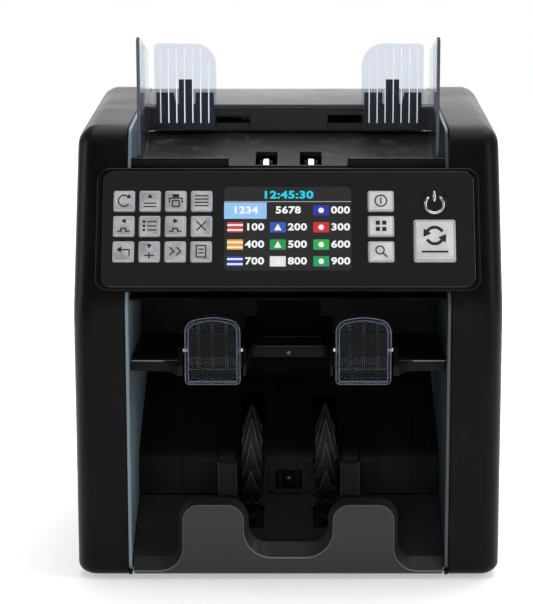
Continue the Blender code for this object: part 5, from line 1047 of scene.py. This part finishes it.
KEY_COLUMNS, KEY_ROWS, WIDE_KEY_X = (-0.1118, -0.0942, -0.0766, -0.0590), (0.0624, 0.0446, 0.0267), 0.0632
KEY, WIDE_KEY, KEY_CLEARANCE = 0.0146, 0.0178, 0.0004
RESTART, RESTART_SIZE = (0.0996, 0.0343), (0.0286, 0.0298)
POWER, POWER_PAD = (0.0999, 0.0620), 0.0092
SCREEN, SCREEN_HALF = (-0.0003, 0.0436), (0.0436, 0.02985)


def around(centre, width, height):
    """The two x and the two rises of a rectangle about a centre."""
    (x, rise), half, tall = centre, width / 2, height / 2
    return (x - half, x + half), (rise - tall, rise + tall)


def disc(centre, radius, low, high, rim=0.0002):
    """A round plate in the panel's plane: a square whose corners' arcs meet."""
    x, rise = centre
    corners = ((x - radius, rise - radius), (x + radius, rise - radius), (x + radius, rise + radius),
               (x - radius, rise + radius))
    return slab(corners, (radius - 0.00001,) * 4, low, high, on_panel, (rim, rim), 10)


hole_sizes = [((x, rise), KEY, KEY) for rise in KEY_ROWS for x in KEY_COLUMNS]
hole_sizes += [((WIDE_KEY_X, rise), WIDE_KEY, KEY) for rise in KEY_ROWS] + [(RESTART, *RESTART_SIZE)]
hole_sizes += [(SCREEN, 2 * SCREEN_HALF[0], 2 * SCREEN_HALF[1])]
face = piece("face_plate", [panel_slab((-FACE_HALF, FACE_HALF), (FACE_LOW, FACE_HIGH), FACE_BACK, FACE_FRONT,
                                       0.007, (0.0001, 0.0005), 10)], face_gloss, body="frame",
             node="panel_face", slot="gloss_black")
holes = [panel_slab(*around(centre, w + 2 * KEY_CLEARANCE, h + 2 * KEY_CLEARANCE), -0.01, 0.01, 0.0016,
                    (0.0001, 0.0001), 4) for centre, w, h in hole_sizes[:-1]]
holes.append(panel_slab(*around(*hole_sizes[-1]), -0.01, 0.01, 0.003, (0.0001, 0.0001), 6))
carve(face, piece("key_room", holes + [disc(POWER, POWER_PAD + KEY_CLEARANCE, -0.01, 0.01)]))
board_green = grained_plastic("board_green", (0.02, 0.12, 0.05), 0.4, grain=1200)
finish_node("control_board", board_green)

# ---- Display -------------------------------------------------------------------------------------------------
# A 4.3 inch colour display behind the window. Its page shows a clock, two totals and ten channels, each a small
# coloured tile and a number. The picture is drawn as thin shapes of light on the dark glass.

GLASS = -0.0006
screen_dark = Finish("screen_dark", (0.016, 0.016, 0.016), 0.2, Emission_Color=(0.016, 0.016, 0.016, 1),
                     Emission_Strength=0.6)
screen_dark = screen_dark.feed(Roughness=screen_dark.between(screen_dark.noise(40, 4), 0.3, 0.7, 0.16, 0.26))
piece("display_module", [panel_slab(*around(SCREEN, 2 * SCREEN_HALF[0] - 0.0002, 2 * SCREEN_HALF[1] - 0.0002),
                                    -0.006, GLASS, 0.003, (0.0001, 0.0001)),
                         panel_slab((-0.0454, 0.0448), (0.0158, 0.0714), -0.0095, -0.0058, 0.001)], screen_dark,
      body="frame", node="display_screen", slot="screen_glass")


def glow(name, colour, strength=0.9):
    """A lit part of the display, with the faint banding of its lines of dots."""
    finish = Finish(name, tuple(0.2 * c for c in colour), 0.3, Emission_Strength=strength)
    bands = finish.node("ShaderNodeTexWave", {"bands_direction": "Z"},
                        {"Vector": finish.place(), "Scale": 900.0}, "Fac")
    dimmer = tuple(0.9 * c for c in colour)
    return finish.feed(Emission_Color=finish.mix(bands, dimmer, colour))


def digits(text, centre, height, spread=1.0):
    """The built-in font's numerals as thin solids in the panel's plane: filled, thickened and brought there."""
    curve = bpy.data.curves.new("digits", "FONT")
    curve.body, curve.align_x, curve.align_y, curve.size = text, "CENTER", "CENTER", height * 1.36
    curve.extrude, curve.offset, curve.space_character, curve.resolution_u = 0.00004, height * 0.045, 1.06, 4
    holder = bpy.data.objects.new("digits", curve)
    bpy.context.scene.collection.objects.link(holder)
    bpy.context.view_layer.update()
    mesh = bpy.data.meshes.new_from_object(holder.evaluated_get(bpy.context.evaluated_depsgraph_get()))
    bpy.data.objects.remove(holder)
    count = len(mesh.vertices)
    flat = np.empty(3 * count)
    mesh.vertices.foreach_get("co", flat)
    flat = flat.reshape(-1, 3)
    points = on_panel(np.stack([centre[0] + spread * flat[:, 0], centre[1] + flat[:, 1]], -1), 0.0)
    points = points + flat[:, 2:] * np.array([0.0, -math.cos(TILT), math.sin(TILT)])
    faces = [np.array([polygon.vertices[:]]) for polygon in mesh.polygons]
    bpy.data.meshes.remove(mesh)
    return points, faces


def raised(part, lift):
    """A part drawn in the panel's plane, moved out of it by a lift."""
    points, faces = part
    return points + lift * np.array([0.0, -math.cos(TILT), math.sin(TILT)]), faces


INK, UNDER, OVER = GLASS + 0.00006, GLASS - 0.0001, GLASS + 0.00010
ROWS, TILE_X, LABEL_X = (0.0563, 0.0443, 0.0321, 0.0203), (-0.0361, -0.0070, 0.0225), (-0.0228, 0.0063, 0.0357)
labels = [(f"{n}00", (LABEL_X[k % 3], ROWS[1 + k // 3])) for k, n in enumerate(range(1, 10))]
white_text = [digits(text, place, 0.0050, 1.22) for text, place in labels]
white_text += [digits("1234", (-0.0292, ROWS[0]), 0.0050, 1.22), digits("5678", (0.0000, ROWS[0]), 0.0050,
                                                                        1.22),
               digits("000", (LABEL_X[2], ROWS[0]), 0.0050, 1.22)]
piece("display_numbers", [raised(part, INK + 0.00006) for part in white_text],
      glow("lit_white", (0.88, 0.90, 0.92)), body="frame", slot="screen_glass")
piece("display_clock", [raised(digits("12:45:30", (-0.0002, 0.0671), 0.0054, 1.30), INK)],
      glow("lit_cyan", (0.02, 0.62, 0.80)), body="frame", slot="screen_glass")
piece("display_rule", [panel_slab((SCREEN[0] - 0.0434, SCREEN[0] + 0.0434), (0.0623, 0.0627), UNDER, INK,
                                  0.0001, (0, 0), 1)], glow("lit_rule", (0.5, 0.5, 0.5)), body="frame",
      slot="screen_glass")
piece("display_highlight", [panel_slab((SCREEN[0] - 0.0434, -0.0147), (0.0503, 0.0619), UNDER, INK, 0.0001,
                                       (0, 0), 1)], glow("lit_blue", (0.30, 0.55, 0.88)), body="frame",
      slot="screen_glass")
TILE_COLOURS = ((0.03, 0.04, 0.35), (0.55, 0.05, 0.08), (0.04, 0.10, 0.45), (0.60, 0.03, 0.05),
                (0.85, 0.35, 0.04), (0.02, 0.30, 0.08), (0.03, 0.40, 0.08), (0.02, 0.05, 0.40),
                (0.75, 0.78, 0.80), (0.02, 0.32, 0.12))
TILE = (0.0108, 0.0072)
tile_places = [(TILE_X[2], ROWS[0])] + [(x, rise) for rise in ROWS[1:] for x in TILE_X]
for n, ((x, rise), colour) in enumerate(zip(tile_places, TILE_COLOURS)):
    tile = panel_slab(*around((x, rise), *TILE), UNDER, INK, 0.0002, (0, 0), 1)
    piece(f"display_tile_{n}", [tile], glow(f"lit_tile_{n}", colour), body="frame", slot="screen_glass")
marks = []
for n, (x, rise) in enumerate(tile_places):
    if n % 3 == 0:
        marks.append(disc((x, rise), 0.0019, UNDER, OVER, 0))
    elif n % 3 == 1:
        marks += [panel_slab((x - 0.0054, x + 0.0054), (rise + d, rise + d + 0.0013), UNDER, OVER, 0.0001,
                             (0, 0), 1) for d in (-0.0026, 0.0009)]
    else:
        marks.append(slab(((x - 0.0026, rise - 0.0022), (x + 0.0026, rise - 0.0022), (x, rise + 0.0026)),
                          (0.0002,) * 3, UNDER, OVER, on_panel, (0, 0), 2))
piece("display_marks", marks, glow("lit_marks", (0.85, 0.85, 0.80)), body="frame", slot="screen_glass")

# ---- Keys ----------------------------------------------------------------------------------------------------
# Clear moulded caps over silvered pads, each on its own switch. The clear rim shows as a paler border round the
# pad. Legends are plain signs printed in dark grey; one large key starts the count.

KEY_FRONT, PAD_FRONT, CAP_BACK = 0.0018, 0.0016, -0.0028
FLANGE, STEM, STEM_SIZE = (-0.0034, -0.0023), (-0.0098, -0.0030), 0.004
INK_FRONT = KEY_FRONT + 0.00016
key_clear = Finish("key_clear", (0.42, 0.43, 0.46), 0.16, Coat_Weight=0.6, Coat_Roughness=0.06)
key_clear = key_clear.feed(Roughness=key_clear.between(key_clear.noise(260), 0.3, 0.7, 0.12, 0.24))


def silver(name, low, high):
    """A silvered pad: a soft cloudy sheen between two greys, with a fine satin grain."""
    finish = Finish(name, high, 0.34, 0.25)
    cloud = finish.noise(95, 3, 0.5)
    return finish.feed(Base_Color=finish.mix(finish.between(cloud, 0.35, 0.65), low, high),
                       Roughness=finish.between(cloud, 0.3, 0.7, 0.28, 0.42))


key_silver = silver("key_silver", (0.40, 0.40, 0.42), (0.68, 0.68, 0.70))
key_white = silver("key_white", (0.74, 0.74, 0.76), (0.90, 0.90, 0.91))
ink = Finish("legend_ink", (0.012, 0.012, 0.014), 0.5)
ink = ink.feed(Roughness=ink.between(ink.noise(300), 0.3, 0.7, 0.4, 0.6))


def cap(centre, width, height, rim):
    """A key about its place: the clear body with a deep rounded rim, its flange and stem behind the face, and
    the silvered pad just under the top."""
    x, rise = around(centre, width, height)
    body = panel_slab(x, rise, CAP_BACK, KEY_FRONT, 0.0014, (0.0002, 0.0011), 5)
    flange = panel_slab((x[0] - 0.0007, x[1] + 0.0007), (rise[0] - 0.0007, rise[1] + 0.0007), *FLANGE, 0.001)
    stem = panel_slab(*around(centre, STEM_SIZE, STEM_SIZE), *STEM, 0.0004)
    pad = panel_slab((x[0] + rim, x[1] - rim), (rise[0] + rim, rise[1] - rim), PAD_FRONT, KEY_FRONT + 0.0001,
                     0.0009, (0.0001, 0.0002), 4)
    return [body, flange, stem, pad]


def stroke(points, width, centre, size, closed=False):
    """A printed line: a thin raised bar that follows points given in shares of the key, mitred at its bends."""
    path = np.array(points, float) * size + np.array(centre)
    ahead = np.roll(path, -1, 0) - path
    if not closed:
        ahead[-1] = ahead[-2]
    behind = np.roll(ahead, 1, 0)
    if not closed:
        behind[0] = ahead[0]
    unit = [v / np.linalg.norm(v, axis=1)[:, None] for v in (ahead, behind)]
    normal = [np.stack([-v[:, 1], v[:, 0]], -1) for v in unit]
    mitre = (normal[0] + normal[1]) / (1 + (normal[0] * normal[1]).sum(1))[:, None]
    left, right = path + mitre * width / 2, path - mitre * width / 2
    section = np.stack([on_panel(left, KEY_FRONT), on_panel(left, INK_FRONT),
                        on_panel(right, INK_FRONT), on_panel(right, KEY_FRONT)], 1)
    if closed:
        return loft(np.concatenate([section, section[:1]]), caps=False)
    return loft(section)


def filled(points, centre, size):
    """A printed area: its corners are given in shares of the key."""
    corners = [(centre[0] + u * size, centre[1] + v * size) for u, v in points]
    return slab(corners, (0.00012,) * len(corners), KEY_FRONT, INK_FRONT, on_panel, (0, 0), 1)


def ring(radius, start, sweep, offset=(0, 0), steps=20):
    """Points on a circle from a start angle through a sweep, both in degrees."""
    turn = np.radians(np.linspace(start, start + sweep, steps))
    return [(offset[0] + radius * math.cos(t), offset[1] + radius * math.sin(t)) for t in turn]


def square(centre, half):
    return tuple((centre[0] + u * half, centre[1] + v * half) for u, v in ((-1, -1), (1, -1), (1, 1), (-1, 1)))


# Each sign's lines and filled areas, in shares of the key.
LINE = 0.0009
TRIANGLE = {"up": ((-0.13, 0.13), (0.13, 0.13), (0.0, 0.34)),
            "down": ((-0.13, 0.34), (0.0, 0.13), (0.13, 0.34)),
            "left": ((0.10, 0.11), (0.10, 0.37), (-0.13, 0.24)),
            "right": ((-0.10, 0.11), (0.13, 0.24), (-0.10, 0.37))}
BARS = {"wide": [((-0.30, -0.12), (0.30, -0.12)), ((-0.30, -0.28), (0.30, -0.28))],
        "steps": [((-0.28, -0.26), (-0.12, -0.26), (-0.12, -0.12), (0.10, -0.12), (0.10, -0.26),
                   (0.28, -0.26))]}
SIGNS = {
    "auto": ([ring(0.27, 40, 280)], [((0.10, 0.10), (0.34, 0.14), (0.22, 0.34))]),
    "serial": (BARS["wide"], [TRIANGLE["up"]]),
    "print": ([((-0.30, -0.10), (-0.30, 0.12), (0.30, 0.12), (0.30, -0.10)),
               ((-0.16, -0.28), (-0.16, 0.0), (0.16, 0.0), (0.16, -0.28), (-0.16, -0.28))],
              [((-0.16, 0.16), (0.16, 0.16), (0.16, 0.32), (-0.16, 0.32))]),
    "batch": ([((-0.32, y), (0.32, y)) for y in (-0.24, -0.08, 0.08, 0.24)], []),
    "face": (BARS["steps"], [TRIANGLE["left"]]),
    "menu": ([((-0.10, y), (0.32, y)) for y in (-0.2, 0.0, 0.2)],
             [square((-0.26, y), 0.06) for y in (-0.2, 0.0, 0.2)]),
    "orient": (BARS["steps"], [TRIANGLE["right"]]),
    "reject": ([((-0.22, -0.22), (0.22, 0.22)), ((-0.22, 0.22), (0.22, -0.22))], []),
    "escape": ([((0.28, -0.22), (0.28, 0.08), (-0.14, 0.08))], [((-0.08, -0.08), (-0.08, 0.24), (-0.32, 0.08))]),
    "add": ([((-0.24, -0.20), (0.24, -0.20)), ((0.0, -0.04), (0.0, -0.36))], [TRIANGLE["down"]]),
    "speed": ([((-0.26, -0.2), (-0.06, 0.0), (-0.26, 0.2)), ((0.06, -0.2), (0.26, 0.0), (0.06, 0.2))], []),
    "report": ([((-0.22, -0.28), (0.22, -0.28), (0.22, 0.28), (-0.22, 0.28), (-0.22, -0.29)),
                ((-0.12, -0.08), (0.12, -0.08)), ((-0.12, 0.10), (0.12, 0.10))], []),
    "currency": ([ring(0.27, 0, 360, steps=25), ((0.0, -0.16), (0.0, 0.16))], []),
    "mode": ([], [square((a, b), 0.1) for a in (-0.15, 0.15) for b in (-0.15, 0.15)]),
    "counterfeit": ([ring(0.19, -50, 360, (-0.06, 0.06), 25), ((0.08, -0.08), (0.28, -0.28))], []),
}
small_keys = ("auto", "serial", "print", "batch", "face", "menu", "orient", "reject", "escape", "add", "speed",
              "report")
key_places = {name: ((KEY_COLUMNS[n % 4], KEY_ROWS[n // 4]), KEY) for n, name in enumerate(small_keys)}
wide_keys = ("currency", "mode", "counterfeit")
key_places.update({name: ((WIDE_KEY_X, KEY_ROWS[n]), WIDE_KEY) for n, name in enumerate(wide_keys)})
for name, (centre, width) in key_places.items():
    pad = key_silver if width == KEY else key_white
    piece(f"{name}_cap", cap(centre, width, KEY, 0.0013), key_clear, pad, body=f"key_{name}_body",
          node=f"key_{name}", slot="key_silver", picks=[0, 0, 0, 1])
    lines, areas = SIGNS[name]
    sign = [stroke(points, LINE, centre, KEY) for points in lines]
    sign += [filled(points, centre, KEY) for points in areas]
    piece(f"{name}_sign", sign, ink, body=f"key_{name}_body", slot="key_silver")

piece("restart_cap", cap(RESTART, *RESTART_SIZE, 0.0017), key_clear, key_white, body="key_restart_body",
      node="key_restart", slot="key_silver", picks=[0, 0, 0, 1])
ARROW_CENTRE, ARROW_SIZE = (RESTART[0], RESTART[1] + 0.0035), 0.0146
arrows = [stroke(ring(0.40, start, 118), 0.0021, ARROW_CENTRE, ARROW_SIZE) for start in (28, 208)]
for turn in (146, 326):
    a = math.radians(turn)
    out, along = np.array([math.cos(a), math.sin(a)]), np.array([-math.sin(a), math.cos(a)])
    arrows.append(filled([tuple(out * 0.62), tuple(out * 0.40 + along * 0.36), tuple(out * 0.18)], ARROW_CENTRE,
                         ARROW_SIZE))
arrows.append(stroke([(-0.62, -0.78), (0.62, -0.78)], 0.0013, ARROW_CENTRE, ARROW_SIZE))
piece("restart_sign", arrows, ink, body="key_restart_body", slot="key_silver")

# ---- Power key -----------------------------------------------------------------------------------------------
# A round black key, flush with the face. The power sign stands proud of it in bright chrome: a short bar, and a
# ring that is open at the top.

chrome = metal("power_chrome", (0.62, 0.63, 0.66), 0.16)
piece("power_pad", [disc(POWER, POWER_PAD, CAP_BACK, -0.0004, 0.0003), disc(POWER, 0.0100, *FLANGE),
                    panel_slab(*around(POWER, STEM_SIZE, STEM_SIZE), *STEM, 0.0004)], face_gloss,
      body="key_power_body", node="key_power", slot="gloss_black")


def bead(path, radius):
    """A bead along a path in the panel's plane: a slightly raised circle is carried along it, and drawn in at
    both ends."""
    path = np.array(path, float)
    along = np.gradient(path, axis=0)
    along /= np.linalg.norm(along, axis=1)[:, None]
    across = np.stack([-along[:, 1], along[:, 0]], -1)
    swell = np.full(len(path), radius)
    swell[[0, -1]] *= 0.3
    swell[[1, -2]] *= 0.8
    turn = np.linspace(0, 2 * math.pi, 14, endpoint=False)
    flat = path[:, None] + across[:, None] * (swell[:, None] * np.cos(turn))[..., None]
    return loft(on_panel(flat, -0.0004 + swell[:, None] * 1.15 * np.sin(turn)))


ring_centre = (POWER[0], POWER[1] - 0.0015)
arc_path = [(ring_centre[0] + 0.0062 * u, ring_centre[1] + 0.0062 * v)
            for u, v in ring(1.0, 124, 292, steps=40)]
bar_path = [(POWER[0], POWER[1] + 0.0004 + step) for step in np.linspace(0, 0.0075, 8)]
piece("power_sign", [bead(arc_path, 0.00105), bead(bar_path, 0.00115)], chrome, body="key_power_body",
      slot="power_chrome")

# ---- Rear door and latch -------------------------------------------------------------------------------------
# The door to the note path: a flat black ABS panel with a shallow raised field, two banks of vent slots and two
# ribs inside. It turns on pins at its foot, and a sliding catch with finger grooves holds it at the top.

DOOR_HALF, DOOR_FOOT, DOOR_TOP, VENT_HALF, VENT_PITCH = 0.1040, 0.0506, 0.2360, 0.00175, 0.010
door_front, door_rear = COVER_REAR - 0.004, COVER_REAR - 0.001
DOOR_HINGE = (COVER_REAR - 0.0040, DOOR_FOOT + 0.006)
latch_low = DOOR_TOP - 0.030
door = piece("door_panel", [box_slab((-DOOR_HALF, DOOR_HALF), (DOOR_FOOT, DOOR_TOP), door_front, door_rear,
                                     0.006, (0.0003, 0.0012))], shell_black, body="door", node="rear_door",
             slot="black_shell")
vents = [box_slab((x - 0.030, x + 0.030), (z - VENT_HALF, z + VENT_HALF), door_front - 0.01, door_rear + 0.01,
                  0.0017) for z in DOOR_FOOT + 0.050 + VENT_PITCH * np.arange(6) for x in (-0.050, 0.050)]
vents.append(box_slab((-0.0174, 0.0174), (latch_low, DOOR_TOP - 0.016), door_front - 0.01, door_rear + 0.01,
                      0.0008))
carve(door, piece("vent_room", vents))
door_ribs = [box_slab((x - 0.0012, x + 0.0012), (DOOR_FOOT + 0.012, DOOR_TOP - 0.036), door_front - 0.012,
                      door_front + 0.001, 0.0008) for x in (-0.092, 0.092)]
door_pins = [turned([(s * 0.0990, 0.0019), (s * 0.1097, 0.0019), (s * 0.1101, 0.0015)][::s], DOOR_HINGE, 20)
             for s in (-1, 1)]
piece("door_ribs", door_ribs + door_pins, inner_black, body="door", slot="black_shell")
latch_parts = [box_slab((-0.0170, 0.0170), (latch_low + 0.0036, latch_low + 0.0128), door_rear - 0.0050,
                        door_rear - 0.0014, 0.001, (0.0002, 0.0006)),
               box_slab((-0.021, 0.021), (latch_low + 0.001, latch_low + 0.021), door_rear - 0.0065,
                        door_rear - 0.0034, 0.0008)]
latch_parts += [box_slab((-0.0145, 0.0145), (z - 0.0004, z + 0.0004), door_rear - 0.0016, door_rear - 0.0007,
                         0.0003, (0.0001, 0.0003)) for z in latch_low + np.array([0.0054, 0.0074, 0.0094,
                                                                                  0.0114])]
piece("latch_slide", latch_parts, inner_black, body="latch", node="door_latch", slot="black_inner")
